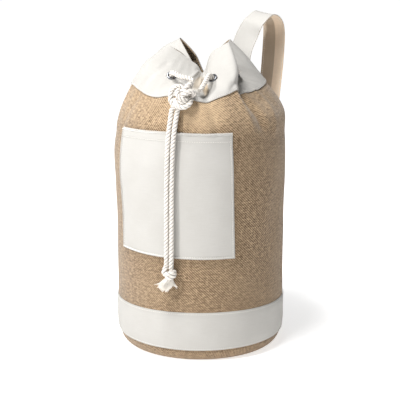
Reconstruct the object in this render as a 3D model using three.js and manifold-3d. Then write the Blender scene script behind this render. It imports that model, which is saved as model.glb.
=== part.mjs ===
// A jute duffel bag with a gathered canvas collar, a patch pocket, a cotton drawstring and a shoulder strap.
// Millimetres, +Z up. The origin is the middle of the round base on the floor, and the pocket faces -Y.
import * as THREE from "three";
import Module from "manifold-3d";
import { mergeVertices } from "three/addons/utils/BufferGeometryUtils.js";

const wasm = await Module();
wasm.setup();

// Driving dimensions
const bodyRadius = 130;
const floorRadius = 114;
const footRise = 34;
const baseTop = 16.6;
const clothGap = 0.3;
const juteThickness = 1.8;
const canvasThickness = 1.5;
const baseThickness = 2.2;
const bandBottom = 19.5;
const bandTop = 79;
const bandDip = 4.5;
const bandDipTurn = 25;
const holeRadius = 5.3;
const flangeRadius = 7.4;
const washerRadius = 6.6;
const barrelRadius = 4.9;
const eyeRadius = 4.35;
const ropeRadius = 3.75;
const ropeLay = 17;
const strapWidth = 36;
const strapThickness = 2;

// Heights along the cloth, measured up from the top of the base
const footAt = footRise - baseTop;
const plumbAt = footAt + 14; // the wall is upright from here up
const bodyRow = 155;
const waistAt = 183;
const chestAt = 313;
const shoulderAt = 356;
const seamAt = 388;
const cordAt = 430;
const rimAt = 476;
const shoulderReach = 124.6;
const shoulderLean = 4.2;
const shoulderLeanTurn = 115;
const shoulderHeight = 372;
const shoulderShare = 0.3; // of the seam's own waves
const seamReachMean = 107;
const seamHeightMean = 401;

// The pocket's corners: degrees from the front to the pocket's right, and height along the cloth
const pocketCorners = {
  bottomLeft: { turn: -36, height: 147.5 },
  bottomRight: { turn: 48, height: 145 },
  topLeft: { turn: -38.5, height: 330 },
  topRight: { turn: 45.6, height: 333.5 },
};
const pocketTopSwell = 3;

// One row for each fold of the gathered top, in order round the bag.
// turn: degrees from the front; seam: reach and height; cord, rim: x, y and height
const folds = [
  { name: "front valley", turn: 30, seam: [117, 395], cord: [28, -44, 421], rim: [22, -28, 430] },
  { name: "front crest", turn: 5, seam: [112, 402], cord: [15, -66, 423], rim: [9, -36, 438] },
  { name: "eyelet 1", turn: -11, seam: [109, 397], cord: [-8, -83, 426], rim: [-6, -40, 449] },
  { name: "left front ridge", turn: -49, seam: [105, 407], cord: [-63, -64, 438], rim: [-33.5, -37.5, 464] },
  { name: "eyelet 2", turn: -67, seam: [101, 403], cord: [-64, -28, 427], rim: [-21, -17, 450] },
  { name: "left valley", turn: -81, seam: [97.5, 400], cord: [-39, -12, 422], rim: [-9, -4, 432] },
  { name: "eyelet 3", turn: -95, seam: [103, 403], cord: [-71, -4, 427], rim: [-24, 4, 450] },
  { name: "left back ridge", turn: -113, seam: [108, 405], cord: [-87, 37, 445], rim: [-47, 27, 468] },
  { name: "eyelet 4", turn: -133, seam: [111, 396], cord: [-61, 61, 414], rim: [-26, 33, 446] },
  { name: "back valley", turn: -155, seam: [114, 389], cord: [-16, 50, 406], rim: [-8, 34, 415] },
  { name: "eyelet 5", turn: -183, seam: [111, 394], cord: [1, 87, 413], rim: [6, 44, 446] },
  { name: "right back ridge", turn: -221, seam: [108, 404], cord: [57, 58, 435], rim: [32, 37, 469] },
  { name: "eyelet 6", turn: -251, seam: [95, 401], cord: [51, 15, 418], rim: [26, 19, 452] },
  { name: "right valley", turn: -281, seam: [91, 399], cord: [48, -3, 418], rim: [23, 6, 434] },
  { name: "eyelet 7", turn: -295, seam: [94, 402], cord: [59, -17, 425], rim: [33, -2, 452] },
  { name: "right front ridge", turn: -305, seam: [103, 407], cord: [78, -39, 434], rim: [51, -9, 470] },
  { name: "right front crest", turn: -312, seam: [108, 404], cord: [75, -50, 432], rim: [48, -15, 468] },
  { name: "eyelet 8", turn: -320, seam: [111, 400], cord: [47, -57, 422], rim: [30, -22, 456] },
];

// Smooth curve through values at rising places, with easy slopes that don't overshoot
function through(places, values, at) {
  let k = places.length - 2;
  while (k > 0 && at < places[k]) k -= 1;
  const slope = (i) => {
    const before = Math.max(i - 1, 0);
    const after = Math.min(i + 1, places.length - 1);
    const rise = (a, b) => values[b].map((v, n) => (v - values[a][n]) / (places[b] - places[a]));
    if (before === i) return rise(i, after);
    if (after === i) return rise(before, i);
    const w = (places[after] - places[i]) / (places[after] - places[before]);
    const low = rise(before, i);
    const high = rise(i, after);
    return low.map((v, n) => v * w + high[n] * (1 - w));
  };
  const span = places[k + 1] - places[k];
  const t = (at - places[k]) / span;
  const start = slope(k);
  const end = slope(k + 1);
  return values[k].map((v, n) => {
    const rise = values[k + 1][n] - v;
    const a = start[n] * span;
    const b = end[n] * span;
    return v + t * (a + t * (3 * rise - 2 * a - b + t * (a + b - 2 * rise)));
  });
}

// The folds run clockwise in the table, so turns are counted the other way here, twice past each end
const order = folds.map((fold) => ({ ...fold, turn: -fold.turn }));
const around = [-360, 0, 360].flatMap((lap) => order.map((fold) => ({ ...fold, turn: fold.turn + lap })));
const turns = around.map((fold) => fold.turn);
const seams = around.map((fold) => fold.seam);
const cords = around.map((fold) => fold.cord);
const rims = around.map((fold) => fold.rim);

const radians = THREE.MathUtils.degToRad;
const onRing = (turn, reach, height) => [
  -reach * Math.sin(radians(turn)),
  -reach * Math.cos(radians(turn)),
  height,
];

// Slight unevenness of the standing cloth, in mm, gone at the base and at slumpTop
const slumpTop = 330;
const slumpOval = 0.7;
const slumpOvalTurn = 40;
const slumpThreefold = 0.5;
function slump(turn, height) {
  const fade = Math.sin(Math.PI * Math.min(height / slumpTop, 1));
  const oval = slumpOval * Math.sin(radians(2 * turn + slumpOvalTurn));
  return fade * (oval + slumpThreefold * Math.sin(radians(3 * turn)));
}

// The foot rounds off below footRise, from the full body radius to the flat floor disc
function footReach(height) {
  const level = 1 - Math.min(height / footRise, 1);
  return floorRadius + (bodyRadius - floorRadius) * Math.sqrt(1 - level ** 2);
}

// The sewing surface of the bag: a point for a turn round it and a height along the cloth
const levelPlaces = [0, footAt, plumbAt, waistAt, chestAt, shoulderAt, seamAt, cordAt, rimAt];
function bagPoint(turn, height) {
  const [reach, seamHeight] = through(turns, seams, turn);
  const shoulder = onRing(
    turn,
    shoulderReach + shoulderLean * Math.cos(radians(turn + shoulderLeanTurn))
      + shoulderShare * (reach - seamReachMean),
    shoulderHeight + shoulderShare * (seamHeight - seamHeightMean),
  );
  const levels = [
    onRing(turn, footReach(baseTop), baseTop),
    onRing(turn, bodyRadius, footRise),
    onRing(turn, bodyRadius, baseTop + plumbAt),
    onRing(turn, bodyRadius, baseTop + waistAt),
    onRing(turn, bodyRadius, baseTop + chestAt),
    shoulder,
    onRing(turn, reach, seamHeight),
    through(turns, cords, turn),
    through(turns, rims, turn),
  ];
  const [x, y, z] = through(levelPlaces, levels, height);
  const swell = 1 + slump(turn, height) / bodyRadius;
  return new THREE.Vector3(x * swell, y * swell, z);
}

function bagNormal(turn, height) {
  const low = Math.max(height - 0.5, 0);
  const high = Math.min(height + 0.5, rimAt);
  const up = bagPoint(turn, high).sub(bagPoint(turn, low));
  const along = bagPoint(turn + 0.3, height).sub(bagPoint(turn - 0.3, height));
  return up.cross(along).normalize();
}

const offCloth = (turn, height, distance) =>
  bagPoint(turn, height).addScaledVector(bagNormal(turn, height), distance);

// Closed body from a grid of points on each of its two faces
function sheetBody(inside, outside, closedRound) {
  const rows = inside.length;
  const columns = inside[0].length;
  const points = [...inside.flat(), ...outside.flat()];
  const at = (face, row, column) => face * rows * columns + row * columns + (column % columns);
  const faces = [];
  const quad = (a, b, c, d) => faces.push(a, b, c, a, c, d);
  const last = closedRound ? columns : columns - 1;
  for (let c = 0; c < last; c += 1) {
    for (let r = 0; r + 1 < rows; r += 1) {
      quad(at(1, r, c), at(1, r, c + 1), at(1, r + 1, c + 1), at(1, r + 1, c));
      quad(at(0, r, c), at(0, r + 1, c), at(0, r + 1, c + 1), at(0, r, c + 1));
    }
    quad(at(0, 0, c), at(0, 0, c + 1), at(1, 0, c + 1), at(1, 0, c));
    quad(at(1, rows - 1, c), at(1, rows - 1, c + 1), at(0, rows - 1, c + 1), at(0, rows - 1, c));
  }
  if (!closedRound) {
    for (let r = 0; r + 1 < rows; r += 1) {
      quad(at(0, r, 0), at(1, r, 0), at(1, r + 1, 0), at(0, r + 1, 0));
      quad(at(1, r, last), at(0, r, last), at(0, r + 1, last), at(1, r + 1, last));
    }
  }
  const geometry = new THREE.BufferGeometry();
  geometry.setAttribute("position", new THREE.Float32BufferAttribute(points.flatMap((p) => p.toArray()), 3));
  geometry.setIndex(faces);
  return geometry;
}

// Columns of the bag's cloth: closer together where the folds are
const columnTurns = [];
order.forEach((fold, k) => {
  const next = k + 1 < order.length ? order[k + 1].turn : order[0].turn + 360;
  const steps = Math.max(3, Math.round((next - fold.turn) / 7));
  for (let s = 0; s < steps; s += 1) columnTurns.push(fold.turn + ((next - fold.turn) * s) / steps);
});
columnTurns.reverse();

// Cloth lying on the bag between two distances from its sewing surface; columns run anticlockwise from above
function bagCloth(heights, inner, outer) {
  const face = (distance) => heights.map((h) => columnTurns.map((turn) => offCloth(turn, h, distance)));
  return sheetBody(face(inner), face(outer), true);
}

// The band round the foot; its top edge sits lower at two opposite sides
function bandGeometry() {
  const rows = [
    () => bandBottom - baseTop,
    () => footAt,
    (turn) => bandTop - baseTop - bandDip * Math.sin(radians(turn + bandDipTurn)) ** 2,
  ];
  const face = (distance) => rows.map((row) => (
    columnTurns.map((turn) => offCloth(turn, row(turn), distance))
  ));
  return sheetBody(face(outerSide), face(clothOutside), true);
}

function toSolid(geometry) {
  geometry.deleteAttribute("normal");
  geometry.deleteAttribute("uv");
  const merged = mergeVertices(geometry, 1e-4);
  return new wasm.Manifold(new wasm.Mesh({
    numProp: 3,
    vertProperties: merged.attributes.position.array,
    triVerts: new Uint32Array(merged.index.array),
  }));
}

function toGeometry(solid) {
  const mesh = solid.getMesh();
  const geometry = new THREE.BufferGeometry();
  geometry.setAttribute("position", new THREE.BufferAttribute(mesh.vertProperties, 3));
  geometry.setIndex(new THREE.BufferAttribute(mesh.triVerts, 1));
  return geometry;
}

const collarHeights = [seamAt, 409, cordAt, 446, 461, rimAt];
const bodyHeights = [0, footAt, bodyRow, chestAt, 336, shoulderAt, 373, ...collarHeights];
const outerSide = clothGap / 2;

// Eyelets: a barrel through the cloth with a rolled flange outside and a washer inside
const clothOutside = outerSide + canvasThickness;
const clothInside = -outerSide - juteThickness;
const bite = 0.1;
const flangeProfile = [
  [eyeRadius, clothInside - 1.1],
  [washerRadius - 0.6, clothInside - 1.1],
  [washerRadius, clothInside + bite],
  [barrelRadius, clothInside + bite],
  [barrelRadius, clothOutside - bite],
  [flangeRadius, clothOutside - bite],
  [flangeRadius - 0.8, clothOutside + 1.0],
  [eyeRadius + 0.5, clothOutside + 1.2],
  [eyeRadius, clothOutside + 0.5],
];
const clearanceProfile = [
  [0, -9],
  [washerRadius + 3, -9],
  [washerRadius + 0.5, clothInside + bite + clothGap],
  [holeRadius, clothInside + bite + clothGap],
  [holeRadius, clothOutside - bite - clothGap],
  [flangeRadius + 0.5, clothOutside - bite - clothGap],
  [flangeRadius + 3, 9],
  [0, 9],
];
const eyeletSegments = 10;

function latheAbout(profile, closed) {
  const points = profile.map(([x, y]) => new THREE.Vector2(x, y));
  if (closed) points.push(points[0].clone());
  return new THREE.LatheGeometry(points, eyeletSegments).rotateX(Math.PI / 2);
}

const eyeletPlaces = order.filter((fold) => fold.name.startsWith("eyelet")).map((fold) => {
  const normal = bagNormal(fold.turn, cordAt);
  const centre = bagPoint(fold.turn, cordAt);
  const up = bagPoint(fold.turn, cordAt + 2).sub(bagPoint(fold.turn, cordAt - 2)).normalize();
  const side = new THREE.Vector3().crossVectors(up, normal).normalize();
  const matrix = new THREE.Matrix4().makeBasis(side, new THREE.Vector3().crossVectors(normal, side), normal);
  matrix.setPosition(centre);
  return { centre, normal, matrix };
});

function cutEyelets(geometry) {
  let solid = toSolid(geometry);
  for (const place of eyeletPlaces) {
    solid = solid.subtract(toSolid(latheAbout(clearanceProfile, false).applyMatrix4(place.matrix)));
  }
  return toGeometry(solid);
}

// The round base: a flat disc whose edge turns up to meet the body
function baseGeometry() {
  const top = baseTop - clothGap;
  const outside = [0, 0.1, 0.25, 0.45, 0.7, 1].map((share) => (
    new THREE.Vector2(footReach(top * share), top * share)
  ));
  const inside = [1, 0.6, 0.35].map((share) => (
    new THREE.Vector2(footReach(top * share) - baseThickness, top * share)
  ));
  const profile = [
    new THREE.Vector2(0, 0),
    ...outside,
    ...inside,
    new THREE.Vector2(floorRadius, baseThickness),
    new THREE.Vector2(0, baseThickness),
  ];
  return new THREE.LatheGeometry(profile, 48).rotateX(Math.PI / 2);
}

// Ropes: a section swept along a smooth path with its frame carried along, so that it never flips
function sweep(path, steps, section, twistPerLength = 0) {
  const points = path.getSpacedPoints(steps);
  const length = path.getLength();
  const geometryPoints = [];
  let side = null;
  points.forEach((point, k) => {
    const tangent = path.getTangentAt(k / steps);
    if (!side) side = new THREE.Vector3().crossVectors(tangent, new THREE.Vector3(0.3, 1, 0.2));
    side = side.sub(tangent.clone().multiplyScalar(side.dot(tangent))).normalize();
    const other = new THREE.Vector3().crossVectors(tangent, side);
    const twist = twistPerLength * length * (k / steps);
    section.forEach(([radius, angle]) => {
      const a = angle + twist;
      geometryPoints.push(point.clone()
        .addScaledVector(side, radius * Math.cos(a))
        .addScaledVector(other, radius * Math.sin(a)));
    });
  });
  const n = section.length;
  const faces = [];
  for (let k = 0; k < steps; k += 1) {
    for (let s = 0; s < n; s += 1) {
      const a = k * n + s;
      const b = k * n + ((s + 1) % n);
      faces.push(a, b, b + n, a, b + n, a + n);
    }
  }
  const first = geometryPoints.length;
  geometryPoints.push(points[0], points[steps]);
  for (let s = 0; s < n; s += 1) {
    const next = (s + 1) % n;
    faces.push(first, next, s, first + 1, steps * n + s, steps * n + next);
  }
  const geometry = new THREE.BufferGeometry();
  geometry.setAttribute("position",
    new THREE.Float32BufferAttribute(geometryPoints.flatMap((p) => p.toArray()), 3));
  geometry.setIndex(faces);
  return geometry;
}

const plainSection = (radius, sides) => (
  Array.from({ length: sides }, (_, k) => [radius, (2 * Math.PI * k) / sides])
);
const ropeSection = Array.from({ length: 9 }, (_, k) => [
  k % 3 === 0 ? ropeRadius : ropeRadius * 0.84,
  (2 * Math.PI * k) / 9,
]);
const toPath = (rows) => (
  new THREE.CatmullRomCurve3(rows.map((row) => new THREE.Vector3(...row)), false, "centripetal")
);
const twistedRope = (rows, steps) => sweep(toPath(rows), steps, ropeSection, (2 * Math.PI) / ropeLay);

// The two ends of the drawstring hang from the front knot to the end knot
const leftEnd = [
  [16, -131.2, 384.6], [15, -134.4, 371], [13, -137.6, 345], [10.9, -138.3, 300],
  [9.9, -138.6, 240], [9.6, -138.5, 195], [9.4, -138.7, 170], [9, -139.2, 152],
];
const rightEnd = [
  [23.8, -128.2, 384.6], [23, -132.8, 371], [21, -136.6, 345], [18.9, -137.4, 300],
  [17.9, -137.6, 240], [17.6, -137.6, 195], [17.3, -137.8, 170], [16.7, -138.3, 152],
];

// The knots, in their own frame: x right, y away from the viewer, z up, seen from the viewer's side
const knotTurn = 25;
const knotLean = -20;
const knotCentre = [26.6, -122, 403.8];
const knotStrands = {
  ring: [
    [13, 3, 1], [13.7, -2, -5.5], [12, -5, -11.5], [7.3, -6.5, -15.6], [1.5, -7, -17.3],
    [-4.6, -6.5, -15.4], [-9, -4, -11.5], [-11, 1, -8],
  ],
  "left bulge": [
    [-11, 0, -12], [-14.6, -3, -7.5], [-15.3, -4.5, -0.5], [-14, -5, 6.6], [-9.8, -6, 12],
    [-3.8, -7, 13.6], [1.8, -6, 11.2], [4.4, -2, 7],
  ],
  curl: [
    [0, -3, 9], [-4.2, -8, 7], [-5.6, -9.5, 2], [-3, -10, -3], [2, -9, -5.6], [7, -6, -5.4], [10, -1, -4],
  ],
  "lower band": [
    [-3.4, -7, -3.6], [3, -11, 0.6], [9, -11.5, 3.8], [14.4, -9, 5.2], [17.8, -4, 3.6], [15, 2, 1.5],
  ],
  "upper band": [
    [0, -8, 4.6], [5.1, -10, 8.7], [9.1, -9.5, 13.3], [12.2, -7, 16.6], [14, -2.5, 17.6], [13, 3, 14.5],
  ],
  "inner strand": [
    [-12, -1, -4], [-8, -5, -8], [-2.5, -6.5, -9.8], [3.5, -6.5, -9.4], [8, -3.5, -7], [10, 1, -4],
  ],
  left: [
    [0, 2, 4], [-5, 0, -4], [-9, -1, -12], [-10.5, -1.5, -18],
  ],
  right: [
    [5, 2, 2], [1, 0.5, -6], [-2, 0, -12], [-3, -0.5, -18],
  ],
};

function knotGeometry() {
  const strands = Object.values(knotStrands).map((rows) => {
    const path = toPath(rows);
    return toSolid(sweep(path, Math.round(path.getLength() / 5), plainSection(ropeRadius, 7)));
  });
  return toGeometry(strands.reduce((a, b) => a.add(b)));
}

// The end knot: a strand wrapped round a core, higher on its right than on its left
const endKnotCentre = [14.4, -139, 141];
const wrapTurns = 1.9;
const wrapStart = 0.6;
const wrapWide = 6;
const wrapDeep = 5.2;
const wrapBottom = -4.6;
const wrapRise = 9;
const wrapSlant = 1.8;
const wrapPoints = 15;
const coreRadius = 6;
function endKnotGeometry() {
  const wrap = Array.from({ length: wrapPoints }, (_, k) => {
    const share = k / (wrapPoints - 1);
    const a = 2 * Math.PI * wrapTurns * share + wrapStart;
    return [
      wrapWide * Math.cos(a),
      wrapDeep * Math.sin(a),
      wrapBottom + wrapRise * share + wrapSlant * Math.cos(a),
    ];
  });
  const coil = toSolid(sweep(toPath(wrap), 26, plainSection(ropeRadius, 7)));
  const corePath = toPath([[0, 0, 9], [0, 0, 3], [0, 0, -3], [0, 0, -8.5]]);
  const core = toSolid(sweep(corePath, 3, plainSection(coreRadius, 10)));
  return toGeometry(coil.add(core));
}

// The frayed ends below the end knot: locks fused at their roots, fanned out and blown a little to the left
const lockCount = 14;
const lockRoot = -11;
const lockFall = 18;
const lockSpread = 5.6;
const lockRadius = 1.7;
const lockDrift = -8;
const goldenAngle = 2.39996;
function frayGeometry() {
  let tuft = toSolid(sweep(toPath([[0, 0, -9], [0, 0, -10.5], [0, 0, -12.5]]), 2, plainSection(6.6, 10)));
  for (let k = 0; k < lockCount; k += 1) {
    const turn = k * goldenAngle;
    const reach = lockSpread * Math.sqrt((k + 0.5) / lockCount);
    const flare = 1.7 + 0.3 * Math.sin(5 * turn);
    const fall = lockFall - 2.5 * Math.sin(3 * turn) ** 2;
    const x = reach * Math.cos(turn);
    const y = reach * Math.sin(turn) * 0.8;
    const lock = [
      [x, y, lockRoot],
      [x * 1.35 + lockDrift * 0.2, y * 1.2, lockRoot - fall * 0.4],
      [x * flare + lockDrift, y * 1.35, lockRoot - fall],
    ];
    tuft = tuft.add(toSolid(sweep(toPath(lock), 2, plainSection(lockRadius, 3))));
  }
  return toGeometry(tuft);
}

// The held part of the drawstring runs through the eyelets, outside at the valleys and inside at the ridges
const ropeOut = 9;
const ropeIn = 10;
const ropeStraight = 2.5; // each way through an eyelet
const fromLeftOfKnot = [[38.4, -105.6, 424.4], [29.5, -103.8, 427.4], [17.5, -101.2, 428.6]];
const toRightOfKnot = [[48.8, -92.6, 418.4], [47, -103.4, 410.6]];
const backValleySag = [-33, 82, 405];
function loopRows() {
  const rows = [...fromLeftOfKnot];
  eyeletPlaces.forEach(({ centre, normal }, k) => {
    const goesIn = k % 2 === 0;
    const inward = [ropeOut, ropeStraight, -ropeStraight, -ropeIn];
    const stops = goesIn ? inward : inward.reverse();
    stops.forEach((distance) => rows.push(centre.clone().addScaledVector(normal, distance).toArray()));
    if (k === 3) rows.push(backValleySag);
  });
  return [...rows, ...toRightOfKnot];
}

// The pocket lies on the body; its columns are finer than the body's, and its rows meet the body's rows
const pocketGap = 0.75;
const pocketColumns = 24;
const bodyRowShare = 0.03;
const chestRowShare = 0.9;
function pocketGeometry() {
  const { bottomLeft, bottomRight, topLeft, topRight } = pocketCorners;
  const between = THREE.MathUtils.lerp;
  const row = (heightAt, rise) => Array.from({ length: pocketColumns + 1 }, (_, k) => {
    const share = k / pocketColumns;
    const bottom = between(bottomLeft.height, bottomRight.height, share);
    const top = between(topLeft.height, topRight.height, share) + pocketTopSwell * Math.sin(Math.PI * share);
    const height = heightAt(bottom, top);
    const left = between(bottomLeft.turn, topLeft.turn, rise);
    const right = between(bottomRight.turn, topRight.turn, rise);
    return { turn: -between(left, right, share), height };
  });
  const rows = [
    row((bottom) => bottom, 0),
    row(() => bodyRow, bodyRowShare),
    row(() => chestAt, chestRowShare),
    row((bottom, top) => top, 1),
  ];
  const face = (distance) => rows.map((places) => (
    places.map(({ turn, height }) => offCloth(turn, height, distance))
  ));
  return sheetBody(face(pocketGap), face(pocketGap + canvasThickness), false);
}

// The strap: sewn on behind the collar, over in a loop, and down to the back of the band.
// x, y, z of its middle, then the turn of its width in plan and the width's tilt, in degrees
const strapRows = [
  { at: [10.5, 116, 397], plan: 175, tilt: 0 },
  { at: [11.6, 120.5, 413], plan: 177, tilt: 8 },
  { at: [15.3, 123.8, 443.2], plan: 178.8, tilt: 11.2 },
  { at: [22.6, 133, 469.7], plan: 178.9, tilt: 20.3 },
  { at: [32.8, 138.7, 489.2], plan: 161, tilt: 15.2 },
  { at: [40.7, 159.2, 499.5], plan: 162.7, tilt: 6.5 },
  { at: [45.1, 179.1, 487.5], plan: 170.2, tilt: -2 },
  { at: [46.7, 184.3, 465], plan: 188.4, tilt: -2 },
  { at: [47.5, 178.6, 427.2], plan: 199.2, tilt: 3 },
  { at: [45, 176.7, 388.7], plan: 190.3, tilt: 4.6 },
  { at: [39.6, 170.7, 320], plan: 182, tilt: 0 },
  { at: [35, 157, 240], plan: 175, tilt: 0 },
  { at: [33, 145, 160], plan: 169, tilt: 0 },
  { at: [33.3, 134.6, 100], plan: 166, tilt: 0 },
  { at: [33.8, 130.9, 70], plan: 165.4, tilt: 0 },
  { at: [33.8, 130.5, 24], plan: 165.4, tilt: 0 },
];
const strapSteps = 44;

function strapGeometry() {
  const places = [...strapRows.keys()];
  const values = strapRows.map((row) => [...row.at, row.plan, row.tilt]);
  const inside = [];
  const outside = [];
  for (let k = 0; k <= strapSteps; k += 1) {
    const at = ((places.length - 1) * k) / strapSteps;
    const [x, y, z, plan, tilt] = through(places, values, at);
    const ahead = through(places, values, Math.min(at + 0.05, places.length - 1));
    const behind = through(places, values, Math.max(at - 0.05, 0));
    const along = new THREE.Vector3(...ahead.map((v, n) => v - behind[n])).normalize();
    const width = new THREE.Vector3(
      Math.cos(radians(plan)) * Math.cos(radians(tilt)),
      Math.sin(radians(plan)) * Math.cos(radians(tilt)),
      Math.sin(radians(tilt)),
    );
    width.sub(along.clone().multiplyScalar(width.dot(along))).normalize();
    const out = new THREE.Vector3().crossVectors(along, width).normalize();
    const row = (distance) => [-1, 1].map((edge) => new THREE.Vector3(x, y, z)
      .addScaledVector(width, (edge * strapWidth) / 2)
      .addScaledVector(out, distance));
    inside.push(row(strapThickness / 2));
    outside.push(row(-strapThickness / 2));
  }
  return sheetBody(inside, outside, false);
}

const finishes = {
  jute: { color: 0xc4a37a, roughness: 0.95, metalness: 0 },
  canvas: { color: 0xece7dc, roughness: 0.9, metalness: 0 },
  webbing: { color: 0xe6dfd0, roughness: 0.85, metalness: 0 },
  cotton: { color: 0xf1ece4, roughness: 0.9, metalness: 0 },
  steel: { color: 0xb9bcc0, roughness: 0.3, metalness: 1 },
};

const bag = new THREE.Group();
function addPart(name, geometry, finish, parent = bag) {
  const mesh = new THREE.Mesh(geometry, new THREE.MeshStandardMaterial(finishes[finish]));
  mesh.name = name;
  parent.add(mesh);
}

addPart("base", baseGeometry(), "jute");
addPart("body", cutEyelets(bagCloth(bodyHeights, clothInside, -outerSide)), "jute");
addPart("collar", cutEyelets(bagCloth(collarHeights, outerSide, clothOutside)), "canvas");
addPart("band", bandGeometry(), "canvas");
addPart("pocket", pocketGeometry(), "canvas");
eyeletPlaces.forEach((place, k) => {
  addPart(`eyelet_${k + 1}`, latheAbout(flangeProfile, true).applyMatrix4(place.matrix), "steel");
});
addPart("drawstring_loop", sweep(toPath(loopRows()), 64, plainSection(ropeRadius, 8)), "cotton");
addPart("drawstring_end_left", twistedRope(leftEnd, 68), "cotton");
addPart("drawstring_end_right", twistedRope(rightEnd, 68), "cotton");

const tie = new THREE.Group();
tie.position.set(...knotCentre);
tie.rotation.set(radians(knotLean), 0, radians(knotTurn), "ZXY");
addPart("front_knot", knotGeometry(), "cotton", tie);
bag.add(tie);

const tassel = new THREE.Group();
tassel.position.set(...endKnotCentre);
tassel.rotation.z = radians(knotTurn);
addPart("end_knot", endKnotGeometry(), "cotton", tassel);
addPart("frayed_ends", frayGeometry(), "cotton", tassel);
bag.add(tassel);

addPart("strap", strapGeometry(), "webbing");

export default bag;
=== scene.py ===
"""A jute duffel bag: its cloth, rope, eyelets and stitching, laid over the bag's frame.

Metres, +Z up. The origin is the middle of the round base on the floor, and the pocket faces -Y.
"""

import math

import bpy
import numpy as np
from bpy.props import FloatProperty, FloatVectorProperty, IntProperty, PointerProperty
from mathutils import Matrix, Vector


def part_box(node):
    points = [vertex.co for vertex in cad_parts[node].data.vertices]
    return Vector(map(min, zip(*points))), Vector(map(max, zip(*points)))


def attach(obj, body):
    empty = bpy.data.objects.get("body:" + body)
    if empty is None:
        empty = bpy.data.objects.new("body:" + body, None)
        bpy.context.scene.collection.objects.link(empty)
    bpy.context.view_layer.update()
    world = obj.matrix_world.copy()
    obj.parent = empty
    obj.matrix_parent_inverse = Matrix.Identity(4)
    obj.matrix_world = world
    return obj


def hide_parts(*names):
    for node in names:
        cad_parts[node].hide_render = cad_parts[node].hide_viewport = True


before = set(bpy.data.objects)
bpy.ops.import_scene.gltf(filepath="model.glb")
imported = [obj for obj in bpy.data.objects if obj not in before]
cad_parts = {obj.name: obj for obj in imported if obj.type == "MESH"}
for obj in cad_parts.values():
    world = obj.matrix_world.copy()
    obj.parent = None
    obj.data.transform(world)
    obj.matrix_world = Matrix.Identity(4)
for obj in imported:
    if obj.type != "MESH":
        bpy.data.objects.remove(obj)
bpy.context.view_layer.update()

bl_info = {
    "name": "Jute duffel bag",
    "version": (1, 0, 0),
    "blender": (4, 5, 0),
    "location": "View3D > Sidebar > Bag",
    "description": "Builds a jute duffel bag with a canvas collar, a drawstring and a strap",
    "category": "Add Mesh",
}

MM = 0.001
ROOT = "root"

# The bag's size and cloth, in mm. The jute lies INSIDE and the canvas OUTSIDE the sewing surface.
BODY_RADIUS, BASE_TOP = 130, 16.6
FLOOR_RADIUS, FOOT_RISE, BASE_THICKNESS, BASE_SEAM_ALLOWANCE = 114, 34, 2.2, 8
CLOTH_GAP, JUTE_THICKNESS, CANVAS_THICKNESS = 0.3, 1.8, 1.5
OUTSIDE = CLOTH_GAP / 2 + CANVAS_THICKNESS
INSIDE = -CLOTH_GAP / 2 - JUTE_THICKNESS

# Heights along the cloth in mm, measured up from the top of the base
WAIST, CHEST, SHOULDER, SEAM, CORD, RIM = 183, 313, 356, 388, 430, 476
BAND_BOTTOM, BAND_TOP = 2.9, 62.4
GATHER_START, GATHER_RISE, GATHER_FALL = 330, 70, 20

# How far the shoulder and the seam are from the middle and how high above the floor, in mm; how the standing
# cloth slumps; and how the band's top edge dips and is pressed thinner. Turns are in degrees.
SHOULDER_REACH, SHOULDER_LEAN, SHOULDER_LEAN_TURN, SHOULDER_HEIGHT = 124.6, 4.2, 115, 372
SHOULDER_SHARE = 0.3  # of the seam's own waves
SEAM_REACH_MEAN, SEAM_HEIGHT_MEAN = 107, 401
SLUMP_TOP, SLUMP_OVAL, SLUMP_OVAL_TURN, SLUMP_THREEFOLD = 330, 0.7, 40, 0.5
BAND_DIP, BAND_DIP_TURN, BAND_THINNING, BAND_THIN_PART = 4.5, 25, 1.3, 0.15

# The pocket's corners: degrees from the front to the pocket's right, and mm up the cloth
POCKET_CORNERS = {
    "bottom left": (-36, 147.5), "bottom right": (48, 145),
    "top left": (-38.5, 330), "top right": (45.6, 333.5),
}
POCKET_TOP_SWELL, POCKET_HEM = 3, 13

# One row for each fold of the gathered top, in order round the bag. turn is in degrees from the front
# towards the pocket's right; seam is a reach and a height, and cord and rim are x, y and height, in mm.
FOLD_COLUMNS = ("name", "turn", "seam", "cord", "rim")
FOLD_ROWS = [
    ("front valley", 30, (117, 395), (28, -44, 421), (22, -28, 430)),
    ("front crest", 5, (112, 402), (15, -66, 423), (9, -36, 438)),
    ("eyelet 1", -11, (109, 397), (-8, -83, 426), (-6, -40, 449)),
    ("left front ridge", -49, (105, 407), (-63, -64, 438), (-33.5, -37.5, 464)),
    ("eyelet 2", -67, (101, 403), (-64, -28, 427), (-21, -17, 450)),
    ("left valley", -81, (97.5, 400), (-39, -12, 422), (-9, -4, 432)),
    ("eyelet 3", -95, (103, 403), (-71, -4, 427), (-24, 4, 450)),
    ("left back ridge", -113, (108, 405), (-87, 37, 445), (-47, 27, 468)),
    ("eyelet 4", -133, (111, 396), (-61, 61, 414), (-26, 33, 446)),
    ("back valley", -155, (114, 389), (-16, 50, 406), (-8, 34, 415)),
    ("eyelet 5", -183, (111, 394), (1, 87, 413), (6, 44, 446)),
    ("right back ridge", -221, (108, 404), (57, 58, 435), (32, 37, 469)),
    ("eyelet 6", -251, (95, 401), (51, 15, 418), (26, 19, 452)),
    ("right valley", -281, (91, 399), (48, -3, 418), (23, 6, 434)),
    ("eyelet 7", -295, (94, 402), (59, -17, 425), (33, -2, 452)),
    ("right front ridge", -305, (103, 407), (78, -39, 434), (51, -9, 470)),
    ("right front crest", -312, (108, 404), (75, -50, 432), (48, -15, 468)),
    ("eyelet 8", -320, (111, 400), (47, -57, 422), (30, -22, 456)),
]
FOLDS = [dict(zip(FOLD_COLUMNS, row)) for row in FOLD_ROWS]

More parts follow.
